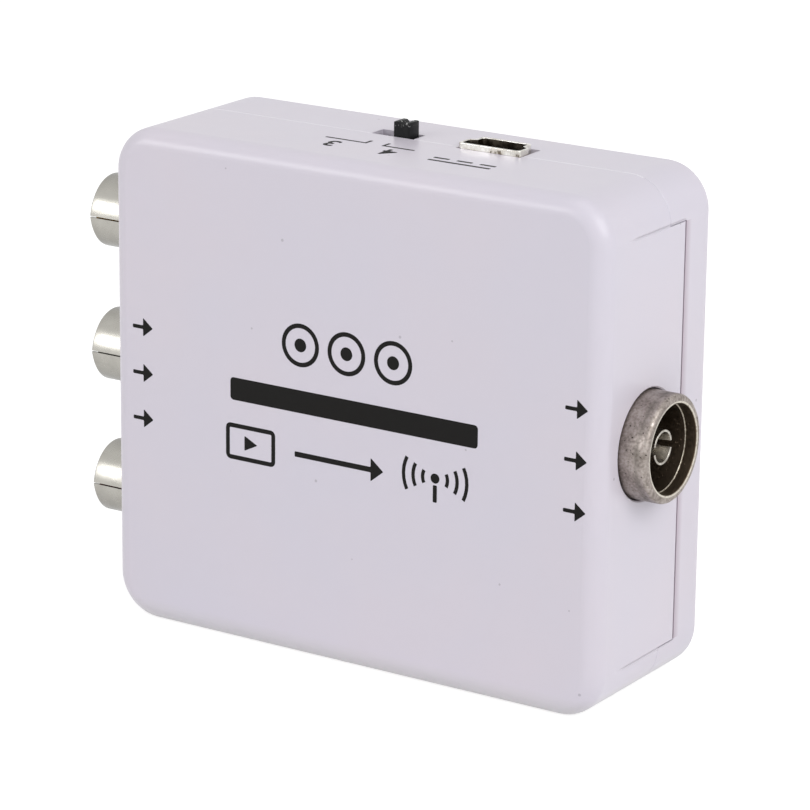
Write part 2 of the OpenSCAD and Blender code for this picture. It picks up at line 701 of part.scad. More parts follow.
module choke() color("dimgray") {
    x = coil_share.x * board_w;
    z = mid_z + coil_share.y * board_h;
    on_board(x, z, [coil_w, coil_cap, coil_w]);
    rod_y(x, board_y - coil_h, z, coil_neck_r, coil_h);
    rod_y(x, board_y - coil_h, z, coil_w / 2, coil_cap);
}

// A chip part: a body between two soldered ends
module chip_part(share, t) {
    x = share.x * board_w;
    z = mid_z + share.y * board_h;
    on_board(x, z, [chip_part_l - 2 * chip_end, t, chip_part_w]);
    for (side = [-1, 1])
        on_board(x + side * (chip_part_l - chip_end) / 2, z, [chip_end, t + chip_lead_t / 4, chip_part_w]);
}

module chip_resistors() color("black") for (share = resistor_shares) chip_part(share, chip_part_t);

module chip_capacitors() color("tan") for (share = capacitor_shares) chip_part(share, chip_cap_t);

front_shell();
rear_shell();
circuit_board();
phono_block();
phono_barrel(phono_zs[0]);  // phono_barrel_top
phono_barrel(phono_zs[1]);  // phono_barrel_middle
phono_barrel(phono_zs[2]);  // phono_barrel_bottom
phono_insulator(phono_zs[0], "gold");  // phono_insulator_top
phono_insulator(phono_zs[1], "white");  // phono_insulator_middle
phono_insulator(phono_zs[2], "crimson");  // phono_insulator_bottom
phono_contact(phono_zs[0]);  // phono_contact_top
phono_contact(phono_zs[1]);  // phono_contact_middle
phono_contact(phono_zs[2]);  // phono_contact_bottom
aerial_ring();
aerial_insulator();
aerial_contact();
usb_sleeve();
usb_insert();
usb_contacts();
switch_frame();
switch_base();
switch_slider();
switch_wiper();
switch_terminals();
modulator_chip();
controller_chip();
crystal();
regulator();
electrolytic_cans();
choke();
chip_resistors();
chip_capacitors();
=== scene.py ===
import json
from math import atan2, cos, pi, radians, sin

import bmesh
import bpy
from mathutils import Matrix, Vector, noise


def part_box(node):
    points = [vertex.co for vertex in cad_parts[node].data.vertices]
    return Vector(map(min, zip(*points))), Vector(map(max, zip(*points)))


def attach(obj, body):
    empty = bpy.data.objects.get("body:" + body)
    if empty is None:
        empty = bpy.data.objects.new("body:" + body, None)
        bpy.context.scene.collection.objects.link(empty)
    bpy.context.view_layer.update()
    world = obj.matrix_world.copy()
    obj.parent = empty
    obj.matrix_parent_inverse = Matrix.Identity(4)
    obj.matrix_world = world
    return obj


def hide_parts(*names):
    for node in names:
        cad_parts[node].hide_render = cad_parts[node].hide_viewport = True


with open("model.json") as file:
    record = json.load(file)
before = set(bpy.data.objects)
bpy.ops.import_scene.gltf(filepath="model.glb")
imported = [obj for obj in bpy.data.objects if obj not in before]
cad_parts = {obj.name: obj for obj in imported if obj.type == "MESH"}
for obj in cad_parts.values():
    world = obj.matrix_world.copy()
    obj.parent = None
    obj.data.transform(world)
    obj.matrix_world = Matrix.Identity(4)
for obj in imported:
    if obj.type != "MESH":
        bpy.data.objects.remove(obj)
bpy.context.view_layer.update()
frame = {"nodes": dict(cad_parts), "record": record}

nodes = frame["nodes"]
scene = bpy.context.scene
perMetre = 1000  # millimetres in a metre: pieces are drawn in millimetres and made metres at the end

# Where the connectors lie, in millimetres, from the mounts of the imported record
mountPlace = {m["name"]: Vector(m["pos_m"]) * perMetre for m in frame["record"]["mounts"]}


def boxOf(node):
    low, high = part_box(node)
    return low * perMetre, high * perMetre


caseLow, caseHigh = boxOf("front_shell")
boardLow, boardHigh = boxOf("circuit_board")
frontFace = caseLow.y
sideFace = caseHigh.x
topFace = caseHigh.z
boardFront = boardLow.y


# Camera: the photograph's view, fitted to the outline of the case and to the connectors

cameraView = {
    "target": (0.17, -0.19, 27.04),  # mm
    "distance": 423.3,
    "azimuth": 32.97,  # degrees from the front, towards the aerial side
    "elevation": 16.72,
    "roll": 0.63,
    "lens": 173.63,
    "sensor": 36,
}


def addCamera(view):
    azimuth, elevation, roll = (radians(view[key]) for key in ("azimuth", "elevation", "roll"))
    back = Vector((sin(azimuth) * cos(elevation), -cos(azimuth) * cos(elevation), sin(elevation)))
    level = Vector((cos(azimuth), sin(azimuth), 0))
    upright = back.cross(level)
    right = level * cos(roll) + upright * sin(roll)
    up = upright * cos(roll) - level * sin(roll)
    data = bpy.data.cameras.new("photoCamera")
    data.lens = view["lens"]
    data.sensor_width = view["sensor"]
    data.clip_start = 0.01
    camera = bpy.data.objects.new("photoCamera", data)
    scene.collection.objects.link(camera)
    place = (Vector(view["target"]) + back * view["distance"]) / perMetre
    camera.matrix_world = Matrix.Translation(place) @ Matrix((right, up, back)).transposed().to_4x4()
    scene.camera = camera


addCamera(cameraView)
print("camera set")


# Materials: small helpers

def srgb(code):  # a hex colour as linear light, by the curve of the sRGB standard
    channels = [int(code[i:i + 2], 16) / 255 for i in (1, 3, 5)]
    return [c / 12.92 if c <= 0.04045 else ((c + 0.055) / 1.055) ** 2.4 for c in channels] + [1]


def addNode(tree, kind, inputs=(), **settings):  # inputs: in the node's own order, or by key
    node = tree.nodes.new("ShaderNode" + kind)
    for key, value in settings.items():
        setattr(node, key, value)
    for key, value in inputs.items() if isinstance(inputs, dict) else enumerate(inputs):
        if isinstance(value, bpy.types.Node):  # a node stands for its first output
            value = value.outputs[0]
        if isinstance(value, str):  # a colour
            value = srgb(value)
        if isinstance(value, bpy.types.NodeSocket):
            tree.links.new(value, node.inputs[key])
        else:
            node.inputs[key].default_value = value
    return node


def emptyTree(owner):  # owner: a material or the world
    owner.use_nodes = True
    owner.node_tree.nodes.clear()
    return owner.node_tree


def startMaterial(name):
    material = bpy.data.materials.new(name)
    tree = emptyTree(material)
    metres = addNode(tree, "TexCoord").outputs["Object"]
    place = addNode(tree, "VectorMath", {0: metres, "Scale": perMetre}, operation="SCALE")
    return material, tree, place


def endMaterial(material, inputs):
    shader = addNode(material.node_tree, "BsdfPrincipled", inputs)
    addNode(material.node_tree, "OutputMaterial", {"Surface": shader})
    return material


noiseLow, noiseHigh = 0.3, 0.7  # nearly all of a noise's values lie between these


# Moulded ABS: satin and faintly lavender, with a fine mould texture, a few handling specks, the marks that
# the side cores of the mould leave on the side faces, a painted shade beside the joint, a painted highlight
# along it on the top side, and painted shade round the foot. The mould texture is drawn coarser than it is,
# so that it shows
mouldedAbs = {
    "cooler": "#d5d2df", "warmer": "#dbd3dc", "driftSize": 16, "faceDepth": 0.3,
    "speck": "#a9a3ad", "speckPitch": 5.2, "speckRadius": 0.17, "speckShare": 0.6,
    "shade": "#b9a9b6", "shadeReach": 1.1, "shadeShare": 0.85,
    "tongueZ": (5, 51), "tongueBack": 5.05, "tongueGap": 0.25,
    "shine": "#f7f5f9", "shineWidth": 0.14, "footShade": "#c9c7c6", "footShadeReach": 2.6, "footShadeShare": 0.75,
    "coreMarkZ": (4.85, 51.15), "coreMarkFront": -7, "coreMarkFade": 2.5, "coreMarkWidth": 0.17,
    "grainSize": 0.16, "waveSize": 2.4, "smooth": 0.28, "rough": 0.36,
}


def makeAbs(spec, joint):  # joint: y of the joint line on the top side
    material, tree, place = startMaterial("mouldedAbs")
    x, y, z = addNode(tree, "SeparateXYZ", (place,)).outputs
    outward = addNode(tree, "Math", (x,), operation="ABSOLUTE")
    tongueLow, tongueHigh = spec["tongueZ"]
    tongueBack = spec["tongueBack"]
    onSide, onTop, aboveLow, behindTongue = (
        addNode(tree, "Math", pair, operation="GREATER_THAN")
        for pair in ((outward, sideFace - spec["faceDepth"]), (z, topFace - spec["faceDepth"]),
                     (z, tongueLow), (y, tongueBack)))
    belowHigh, beforeBack = (addNode(tree, "Math", pair, operation="LESS_THAN")
                             for pair in ((z, tongueHigh), (y, tongueBack)))

    drift = addNode(tree, "TexNoise", {"Vector": place, "Scale": 1 / spec["driftSize"], "Detail": 2})
    tone = addNode(tree, "Mix", {0: drift, 6: spec["cooler"], 7: spec["warmer"]},
                   data_type="RGBA").outputs[2]
    cells = addNode(tree, "TexVoronoi", {"Vector": place, "Scale": 1 / spec["speckPitch"]})
    inSpeck = addNode(tree, "Math", (cells.outputs["Distance"], spec["speckRadius"] / spec["speckPitch"]),
                      operation="LESS_THAN")
    inSpeck = addNode(tree, "Math", (inSpeck, spec["speckShare"]), operation="MULTIPLY")
    # painted shade on the side faces behind the tongue, fading away from the joint
    rearEdge = tongueBack + spec["tongueGap"]
    shade = addNode(tree, "MapRange", (y, rearEdge, rearEdge + spec["shadeReach"], 1, 0))
    for factor in (behindTongue, aboveLow, belowHigh, onSide, spec["shadeShare"]):
        shade = addNode(tree, "Math", (shade, factor), operation="MULTIPLY")
    # painted highlight: a thin line of light along the joint on the top side
    shine = addNode(tree, "Math", (y, joint), operation="SUBTRACT")
    shine = addNode(tree, "Math", (shine,), operation="ABSOLUTE")
    shine = addNode(tree, "MapRange", (shine, 0, spec["shineWidth"], 1, 0))
    shine = addNode(tree, "Math", (shine, onTop), operation="MULTIPLY")
    # painted shade: the colour is darkened towards the foot
    foot = addNode(tree, "MapRange", (z, 0, spec["footShadeReach"], spec["footShadeShare"], 0))
    for share, colour in ((inSpeck, "speck"), (shade, "shade"), (shine, "shine"), (foot, "footShade")):
        tone = addNode(tree, "Mix", {0: share, 6: tone, 7: spec[colour]}, data_type="RGBA").outputs[2]

    wave = addNode(tree, "TexNoise", {"Vector": place, "Scale": 1 / spec["waveSize"], "Detail": 3})
    rough = addNode(tree, "MapRange", (wave, 0, 1, spec["smooth"], spec["rough"]))
    grain = addNode(tree, "TexNoise", {"Vector": place, "Scale": 1 / spec["grainSize"], "Detail": 2})
    bump = addNode(tree, "Bump", {"Strength": 0.12, "Distance": 0.00001, "Height": grain})
    markFront = spec["coreMarkFront"]
    fade = addNode(tree, "MapRange", (y, markFront, markFront + spec["coreMarkFade"]))
    for markZ in spec["coreMarkZ"]:
        depth = addNode(tree, "Math", (z, markZ), operation="SUBTRACT")
        depth = addNode(tree, "Math", (depth,), operation="ABSOLUTE")
        depth = addNode(tree, "MapRange", (depth, 0, spec["coreMarkWidth"], 1, 0))
        for factor in (fade, beforeBack, onSide):
            depth = addNode(tree, "Math", (depth, factor), operation="MULTIPLY")
        bump = addNode(tree, "Bump", {"Strength": 1, "Distance": 0.00012, "Height": depth,
                                      "Normal": bump}, invert=True)
    return endMaterial(material, {"IOR": 1.53, "Base Color": tone, "Roughness": rough, "Normal": bump})


# Nickel over rolled brass: bright, slightly warm, with fine lines from the rolling, drawn coarser than they
# are so that they show, and a faint haze. Where it turns away from the camera its colour is painted darker,
# a painted reflection of a darker room
rolledNickel = {
    "bright": "#b9b7b0", "dull": "#a6a39c", "hazeSize": 1.6, "smooth": 0.2, "rough": 0.34,
    # turned: the colour of the painted reflection where the metal turns away
    "turned": "#55534e", "turnStart": 0.3, "turnEnd": 0.95, "turnShare": 0.8, "lineSize": 0.09,
    "lineLength": 2.5,
}


def makeRolledNickel(spec):
    material, tree, place = startMaterial("rolledNickel")
    haze = addNode(tree, "TexNoise", {"Vector": place, "Scale": 1 / spec["hazeSize"], "Detail": 4})
    tone = addNode(tree, "Mix", {0: haze, 6: spec["bright"], 7: spec["dull"]}, data_type="RGBA").outputs[2]
    # painted reflection: the colour darkens where the surface turns away from the camera
    facing = addNode(tree, "LayerWeight", {"Blend": 0.5}).outputs["Facing"]
    turned = addNode(tree, "MapRange", (facing, spec["turnStart"], spec["turnEnd"], 0, spec["turnShare"]))
    tone = addNode(tree, "Mix", {0: turned, 6: tone, 7: spec["turned"]}, data_type="RGBA")
    rough = addNode(tree, "MapRange", (haze, noiseLow, noiseHigh, spec["smooth"], spec["rough"]))
    along = addNode(tree, "Mapping", {0: place, "Scale": (spec["lineSize"] / spec["lineLength"], 1, 1)})
    lines = addNode(tree, "TexNoise", {"Vector": along, "Scale": 1 / spec["lineSize"],
                                       "Detail": 2})
    bump = addNode(tree, "Bump", {"Strength": 0.25, "Distance": 0.000004, "Height": lines})
    return endMaterial(material, {"Metallic": 1, "Base Color": tone.outputs[2], "Roughness": rough,
                                  "Normal": bump})


# Die-cast zinc under dull nickel: mottled warm grey, clouded by handling, with small casting pits, darker in
# a band round its shoulder, tarnished brown inside, and worn along the mouth and the ledge behind it, where
# it is painted lighter as a painted highlight
castNickel = {
    "pale": "#b0a7a1", "dark": "#827973", "toneStart": 0.75, "toneEnd": 1.25, "cloudSize": 1.8,
    "mottleSize": 0.3, "pit": "#3a332e", "pitPitch": 0.42, "pitRadius": 0.13, "pitStart": 0.42,
    "pitEnd": 0.66, "pitEdge": 0.1, "darkBand": "#5f5b52", "darkBandDepth": 1.15, "darkBandReach": 0.55,
    "tarnish": "#6d6052", "boreReach": 4.98, "worn": "#cdc7bb", "wornReach": 0.09, "wornStart": 0.2,
    "wornEnd": 0.5, "ledgeDepth": 1.3, "ledgeWorn": 0.08, "polished": 0.28, "smooth": 0.36, "rough": 0.56,
}


def makeCastNickel(spec, mouthAt, axis):  # mouthAt: x of the mouth, axis: of the opening
    material, tree, place = startMaterial("castNickel")
    cloud, mottle = (addNode(tree, "TexNoise", {"Vector": place, "Scale": 1 / spec[size], "Detail": detail})
                     for size, detail in (("cloudSize", 3), ("mottleSize", 5)))
    both = addNode(tree, "Math", (cloud, mottle), operation="ADD")
    share = addNode(tree, "MapRange", (both, spec["toneStart"], spec["toneEnd"]))
    tone = addNode(tree, "Mix", {0: share, 6: spec["pale"], 7: spec["dark"]}, data_type="RGBA").outputs[2]
    cells = addNode(tree, "TexVoronoi", {"Vector": place, "Scale": 1 / spec["pitPitch"]})
    reach = addNode(tree, "MapRange", (mottle, spec["pitStart"], spec["pitEnd"], 0,
                                       spec["pitRadius"] / spec["pitPitch"]))
    inside = addNode(tree, "Math", (reach, cells.outputs["Distance"]), operation="SUBTRACT")
    pit = addNode(tree, "MapRange", (inside, 0, spec["pitEdge"]))

    # Where the surface lies: its radius from the axis, and its distance back from the mouth
    radius = place
    for operation, value in (("SUBTRACT", (0, axis.y, axis.z)), ("MULTIPLY", (0, 1, 1))):
        radius = addNode(tree, "VectorMath", (radius, value), operation=operation)
    radius = addNode(tree, "VectorMath", (radius,), operation="LENGTH").outputs["Value"]
    x = addNode(tree, "SeparateXYZ", (place,)).outputs[0]
    back = addNode(tree, "Math", (mouthAt, x), operation="SUBTRACT")
    inBore = addNode(tree, "Math", (radius, spec["boreReach"]), operation="LESS_THAN")
    offBore, offDarkBand, offLedge = (
        addNode(tree, "Math", pair, operation="SUBTRACT")
        for pair in ((radius, spec["boreReach"]), (back, spec["darkBandDepth"]), (back, spec["ledgeDepth"])))
    offBore, offDarkBand, offLedge = (addNode(tree, "Math", (value,), operation="ABSOLUTE")
                                   for value in (offBore, offDarkBand, offLedge))
    # a darker band round the shoulder, patchy with the cloud
    darkBand = addNode(tree, "MapRange", (offDarkBand, 0, spec["darkBandReach"], 1, 0))
    darkBand = addNode(tree, "Math", (darkBand, cloud), operation="MULTIPLY")
    # worn at the rim of the bore and along the ledge, polished there, and painted lighter as a painted
    # highlight
    toRim = addNode(tree, "Math", (offBore, back), operation="ADD")
    toLedge = addNode(tree, "Math", (offLedge, 1 + spec["ledgeWorn"]), operation="ADD")
    toLedge = addNode(tree, "Math", (toLedge, inBore), operation="SUBTRACT")
    away = addNode(tree, "Math", (toRim, toLedge), operation="MINIMUM")
    wear = addNode(tree, "MapRange", (away, spec["wornReach"], 2 * spec["wornReach"], 1, 0))
    wear = addNode(tree, "Math", (wear, mottle), operation="MULTIPLY")
    wear = addNode(tree, "MapRange", (wear, spec["wornStart"], spec["wornEnd"]))
    for share, colour in ((pit, "pit"), (darkBand, "darkBand"), (inBore, "tarnish"), (wear, "worn")):
        tone = addNode(tree, "Mix", {0: share, 6: tone, 7: spec[colour]}, data_type="RGBA").outputs[2]
    rough = addNode(tree, "MapRange", (mottle, noiseLow, noiseHigh, spec["smooth"], spec["rough"]))
    rough = addNode(tree, "Mix", {0: wear, 2: rough, 3: spec["polished"]})
    grain = addNode(tree, "Bump", {"Strength": 0.35, "Distance": 0.00003, "Height": mottle})
    bump = addNode(tree, "Bump", {"Strength": 0.8, "Distance": 0.00006, "Height": pit,
                                  "Normal": grain}, invert=True)
    return endMaterial(material, {"Metallic": 1, "Base Color": tone, "Roughness": rough, "Normal": bump})


# Plain metals: stamped or drawn sheet and wire, each with a haze, faint lines and its own colour
plainMetals = {
    # platedSteel's inside: the colour of a painted dark reflection inside the sleeve's hollow
    "platedSteel": {"bright": "#e4e2de", "dull": "#b9b3a8", "smooth": 0.16, "rough": 0.34, "hazeSize": 0.9,
                    "inside": "#4a443c", "stain": "#6b6257"},
    "switchSteel": {"bright": "#dbd8d4", "dull": "#bcb8b2", "smooth": 0.26, "rough": 0.42, "hazeSize": 0.8},
    "springNickel": {"bright": "#c9c5bd", "dull": "#98928a", "smooth": 0.22, "rough": 0.4, "hazeSize": 0.6},
    "springBrass": {"bright": "#d9b878", "dull": "#b08f55", "smooth": 0.22, "rough": 0.38, "hazeSize": 0.7},
    "drawnAluminium": {"bright": "#cfd0d2", "dull": "#b2b3b6", "smooth": 0.2, "rough": 0.36,
                       "hazeSize": 1.1},
}
hazeStart, hazeEnd = 0.35, 0.7
stainStart, stainEnd = 0.62, 0.68
linesPerHaze = 12


def makePlainMetal(name, spec):
    material, tree, place = startMaterial(name)
    haze = addNode(tree, "TexNoise", {"Vector": place, "Scale": 1 / spec["hazeSize"], "Detail": 5})
    share = addNode(tree, "MapRange", (haze, hazeStart, hazeEnd))
    tone = addNode(tree, "Mix", {0: share, 6: spec["bright"], 7: spec["dull"]}, data_type="RGBA").outputs[2]
    if "stain" in spec:
        spots = addNode(tree, "MapRange", (haze, stainStart, stainEnd))
        tone = addNode(tree, "Mix", {0: spots, 6: tone, 7: spec["stain"]}, data_type="RGBA").outputs[2]
    # painted reflection: inside its own hollow the sheet's colour is painted dark
    if "inside" in spec:  # what the sheet mirrors inside its own hollow is dark
        inside = addNode(tree, "Attribute", attribute_name="inside").outputs["Fac"]
        tone = addNode(tree, "Mix", {0: inside, 6: tone, 7: spec["inside"]}, data_type="RGBA").outputs[2]
    rough = addNode(tree, "MapRange", (share, 0, 1, spec["smooth"], spec["rough"]))
    lines = addNode(tree, "TexNoise", {"Vector": place, "Scale": linesPerHaze / spec["hazeSize"],
                                       "Detail": 2})
    bump = addNode(tree, "Bump", {"Strength": 0.2, "Distance": 0.000004, "Height": lines})
    return endMaterial(material, {"Metallic": 1, "Base Color": tone, "Roughness": rough, "Normal": bump})


# Plain mouldings and ceramics: one colour with a faint drift, a fine grain and its own gloss
nylon = {"smooth": 0.24, "rough": 0.34, "grainSize": 0.5}
plainMouldings = {
    "blackPbt": {"colour": "#141415", "other": "#1b1b1d", "smooth": 0.38, "rough": 0.5, "grainSize": 0.2,
                 "specular": 0.3},
    "brownPhenolic": {"colour": "#5b3a20", "other": "#472c18", "smooth": 0.42, "rough": 0.58,
                      "grainSize": 0.3},
    "yellowNylon": {"colour": "#e3b013", "other": "#d6a20c", **nylon},
    "whiteNylon": {"colour": "#e6e3da", "other": "#dcd8cd", **nylon},
    "redNylon": {"colour": "#b3201c", "other": "#a21816", **nylon},
    "darkPhenolic": {"colour": "#2b241f", "other": "#1d1815", "smooth": 0.4, "rough": 0.55,
                     "grainSize": 0.3},
    "greyFerrite": {"colour": "#39393b", "other": "#2c2c2e", "smooth": 0.5, "rough": 0.65,
                    "grainSize": 0.12},
    "screenInk": {"colour": "#0c0b0a", "other": "#12100f", "smooth": 0.5, "rough": 0.6, "grainSize": 0.25,
                  "specular": 0.15},
}
driftPerGrain = 0.35


def makeMoulding(name, spec):
    material, tree, place = startMaterial(name)
    drift = addNode(tree, "TexNoise", {"Vector": place, "Scale": driftPerGrain / spec["grainSize"],
                                       "Detail": 3})
    tone = addNode(tree, "Mix", {0: drift, 6: spec["colour"], 7: spec["other"]}, data_type="RGBA")
    rough = addNode(tree, "MapRange", (drift, noiseLow, noiseHigh, spec["smooth"], spec["rough"]))
    grain = addNode(tree, "TexNoise", {"Vector": place, "Scale": 1 / spec["grainSize"], "Detail": 2})
    bump = addNode(tree, "Bump", {"Strength": 0.2, "Distance": 0.00002, "Height": grain})
    return endMaterial(material, {"IOR": 1.5, "Specular IOR Level": spec.get("specular", 0.5),
                                  "Base Color": tone.outputs[2], "Roughness": rough, "Normal": bump})


# Parts on the board: a moulded or fired body with tinned leads, which lie beyond the body's own box
boardParts = {
    "chipEpoxy": {"colour": "#232426", "other": "#2c2d30", "tin": "#cdccc8", "roughness": 0.62},
    "resistorGlaze": {"colour": "#17181b", "other": "#202126", "tin": "#d2d1cd", "roughness": 0.3},
    "capacitorCeramic": {"colour": "#b08a5c", "other": "#a37e52", "tin": "#d2d1cd", "roughness": 0.5},
}
tinRoughness = 0.3
grainsPerMm = 9


def makeBoardPart(name, spec, tinned):
    material, tree, place = startMaterial(name)
    grain = addNode(tree, "TexNoise", {"Vector": place, "Scale": grainsPerMm, "Detail": 3})
    tone = addNode(tree, "Mix", {0: grain, 6: spec["colour"], 7: spec["other"]}, data_type="RGBA").outputs[2]
    share = tinned(tree, place)
    tone = addNode(tree, "Mix", {0: share, 6: tone, 7: spec["tin"]}, data_type="RGBA")
    rough = addNode(tree, "MapRange", (share, 0, 1, spec["roughness"], tinRoughness))
    bump = addNode(tree, "Bump", {"Strength": 0.25, "Distance": 0.00001, "Height": grain})
    return endMaterial(material, {"IOR": 1.5, "Base Color": tone.outputs[2], "Metallic": share,
                                  "Roughness": rough, "Normal": bump})


def outsideBox(low, high):  # 1 where the surface lies beside the body of a chip
    def tinned(tree, place):
        x = addNode(tree, "SeparateXYZ", (place,)).outputs[0]
        right = addNode(tree, "Math", (x, high), operation="GREATER_THAN")
        left = addNode(tree, "Math", (x, low), operation="LESS_THAN")
        return addNode(tree, "Math", (right, left), operation="ADD")
    return tinned


def frontOf(limit):  # 1 where the surface stands in front of a limit, as soldered ends do
    def tinned(tree, place):
        y = addNode(tree, "SeparateXYZ", (place,)).outputs[1]
        return addNode(tree, "Math", (y, limit), operation="LESS_THAN")
    return tinned


# Glass-fibre board under green solder mask: copper tracks show as a paler green, the cut edge a pale tan
lacqueredBoard = {
    "mask": "#0f5a35", "track": "#1e7a49", "edge": "#a9a36a", "trackPitch": 1.7, "trackPeriod": 0.25,
    "trackShare": 0.1, "edgeFrom": 0.47, "weavePitch": 0.45,
}


def makeBoard(spec):
    material, tree, place = startMaterial("lacqueredBoard")
    flat = addNode(tree, "Mapping", {0: place, "Rotation": (pi / 2, 0, 0)})
    cells = addNode(tree, "TexVoronoi", {"Vector": flat, "Scale": 1 / (2 * spec["trackPitch"]),
                                         "Randomness": 0.7}, distance="MANHATTAN", feature="F2")
    bands = addNode(tree, "Math", (cells.outputs["Distance"], spec["trackPeriod"]), operation="MODULO")
    isTrack = addNode(tree, "Math", (bands, spec["trackShare"]), operation="LESS_THAN")
    tone = addNode(tree, "Mix", {0: isTrack, 6: spec["mask"], 7: spec["track"]}, data_type="RGBA").outputs[2]
    y = addNode(tree, "SeparateXYZ", (place,)).outputs[1]
    depth = addNode(tree, "Math", (y, (boardLow.y + boardHigh.y) / 2), operation="SUBTRACT")
    depth = addNode(tree, "Math", (depth,), operation="ABSOLUTE")
    inEdge = addNode(tree, "Math", (depth, (boardHigh.y - boardLow.y) * spec["edgeFrom"]),
                     operation="LESS_THAN")
    tone = addNode(tree, "Mix", {0: inEdge, 6: tone, 7: spec["edge"]}, data_type="RGBA")
    step = addNode(tree, "Bump", {"Strength": 0.5, "Distance": 0.00003, "Height": isTrack})
    weave = addNode(tree, "TexWave", {"Vector": flat, "Scale": 1 / spec["weavePitch"], "Distortion": 0.3})
    bump = addNode(tree, "Bump", {"Strength": 0.1, "Distance": 0.00001, "Height": weave.outputs["Fac"],
                                  "Normal": step})
    return endMaterial(material, {"Roughness": 0.32, "IOR": 1.5, "Base Color": tone.outputs[2],
                                  "Normal": bump})


# Satin black acetal of the slider, with light grey spots near its top edges
spottedAcetal = {
    "colour": "#101012", "spotTone": "#c4c4c2", "spotRise": 0.6, "wearSize": 0.3, "spotStart": 0.61,
    "spotEnd": 0.66, "smooth": 0.36, "rough": 0.5,
}


def makeAcetal(spec, topZ):
    material, tree, place = startMaterial("spottedAcetal")
    z = addNode(tree, "SeparateXYZ", (place,)).outputs[2]
    # light grey spots near the top, fading out below it
    high = addNode(tree, "MapRange", (z, topZ - spec["spotRise"], topZ))
    wear = addNode(tree, "TexNoise", {"Vector": place, "Scale": 1 / spec["wearSize"], "Detail": 4})
    spots = addNode(tree, "MapRange", (wear, spec["spotStart"], spec["spotEnd"]))
    share = addNode(tree, "Math", (high, spots), operation="MULTIPLY")
    tone = addNode(tree, "Mix", {0: share, 6: spec["colour"], 7: spec["spotTone"]}, data_type="RGBA")
    rough = addNode(tree, "MapRange", (wear, noiseLow, noiseHigh, spec["smooth"], spec["rough"]))
    bump = addNode(tree, "Bump", {"Strength": 0.3, "Distance": 0.00002, "Height": wear})
    return endMaterial(material, {"IOR": 1.48, "Specular IOR Level": 0.18,
                                  "Base Color": tone.outputs[2], "Roughness": rough, "Normal": bump})


# How far the leads stand out beside each chip, in mm: below 0 where none do
leadReach = {"modulator_chip": 1.05, "controller_chip": 1.05, "regulator": -1}
solderDepth = 0.03
aerialMouth = boxOf("aerial_ring")[1].x
finish = {
    "mouldedAbs": makeAbs(mouldedAbs, boxOf("rear_shell")[0].y),
    "rolledNickel": makeRolledNickel(rolledNickel),
    "castNickel": makeCastNickel(castNickel, aerialMouth, mountPlace["aerial_socket"]),
    "lacqueredBoard": makeBoard(lacqueredBoard),
    "spottedAcetal": makeAcetal(spottedAcetal, boxOf("switch_slider")[1].z),
}
for name, spec in plainMetals.items():
    finish[name] = makePlainMetal(name, spec)
for name, spec in plainMouldings.items():
    finish[name] = makeMoulding(name, spec)
for node, reach in leadReach.items():
    low, high = boxOf(node)
    finish[node] = makeBoardPart(node + "Epoxy", boardParts["chipEpoxy"],
                                 outsideBox(low.x + reach, high.x - reach))
for node, kind in (("chip_resistors", "resistorGlaze"), ("chip_capacitors", "capacitorCeramic")):
    finish[node] = makeBoardPart(kind, boardParts[kind], frontOf(boxOf(node)[0].y + solderDepth))
print("finishes made:", len(finish))

# Each CAD node's finish, where it isn't named as the node is
nodeFinish = {
    "front_shell": "mouldedAbs", "rear_shell": "mouldedAbs", "circuit_board": "lacqueredBoard",
    "phono_block": "blackPbt", "aerial_ring": "castNickel", "aerial_insulator": "darkPhenolic",
    "aerial_contact": "springNickel", "usb_sleeve": "platedSteel", "usb_insert": "blackPbt",
    "usb_contacts": "springBrass", "switch_frame": "switchSteel", "switch_base": "brownPhenolic",
    "switch_slider": "spottedAcetal", "switch_wiper": "springBrass", "switch_terminals": "springBrass",
    "crystal": "drawnAluminium", "electrolytic_cans": "drawnAluminium", "choke": "greyFerrite",
}
phonoInsulators = {"top": "yellowNylon", "middle": "whiteNylon", "bottom": "redNylon"}
for which, insulator in phonoInsulators.items():
    nodeFinish["phono_barrel_" + which] = "rolledNickel"
    nodeFinish["phono_insulator_" + which] = insulator
    nodeFinish["phono_contact_" + which] = "springBrass"
for name, piece in nodes.items():
    for materialSlot in piece.material_slots:
        materialSlot.material = finish[nodeFinish.get(name, name)]


# New pieces: helpers

def addPiece(bm, name, finishName, body="case", replaced=()):
    bmesh.ops.scale(bm, vec=Vector((1, 1, 1)) / perMetre, verts=bm.verts)
    mesh = bpy.data.meshes.new(name)
    bm.to_mesh(mesh)
    bm.free()
    piece = bpy.data.objects.new(name, mesh)
    scene.collection.objects.link(piece)
    mesh.materials.append(finish[finishName])
    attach(piece, body)
    if replaced:
        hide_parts(*replaced)


def shadeByAngle(bm, sharp=35):  # smooth, but sharp where two faces meet at more degrees than this
    for face in bm.faces:
        face.smooth = True
    for edge in bm.edges:
        edge.smooth = len(edge.link_faces) == 2 and edge.calc_face_angle(0) < radians(sharp)


def bevel(bm, geom, offset, affect, segments, clamp=False):
    return bmesh.ops.bevel(bm, geom=geom, offset=offset, affect=affect, segments=segments, profile=0.5,
                           material=-1, clamp_overlap=clamp)


def addBlock(bm, low, high, edge=0):  # a box between two corners, with its edges bevelled
    low, high = Vector(low), Vector(high)
    verts = bmesh.ops.create_cube(bm, size=1)["verts"]
    bmesh.ops.scale(bm, vec=high - low, verts=verts)
    bmesh.ops.translate(bm, vec=(low + high) / 2, verts=verts)
    if edge:
        bevel(bm, [e for e in bm.edges if e.verts[0] in verts], edge, "EDGES", 2)


# Printed signs: thin ink on the case, plain signs where the words were

ink = {"thickness": 0.012, "arrowRound": 0.112, "arrowNeck": 0.62}
weldReach = 1e-4  # mm: points nearer than this are one


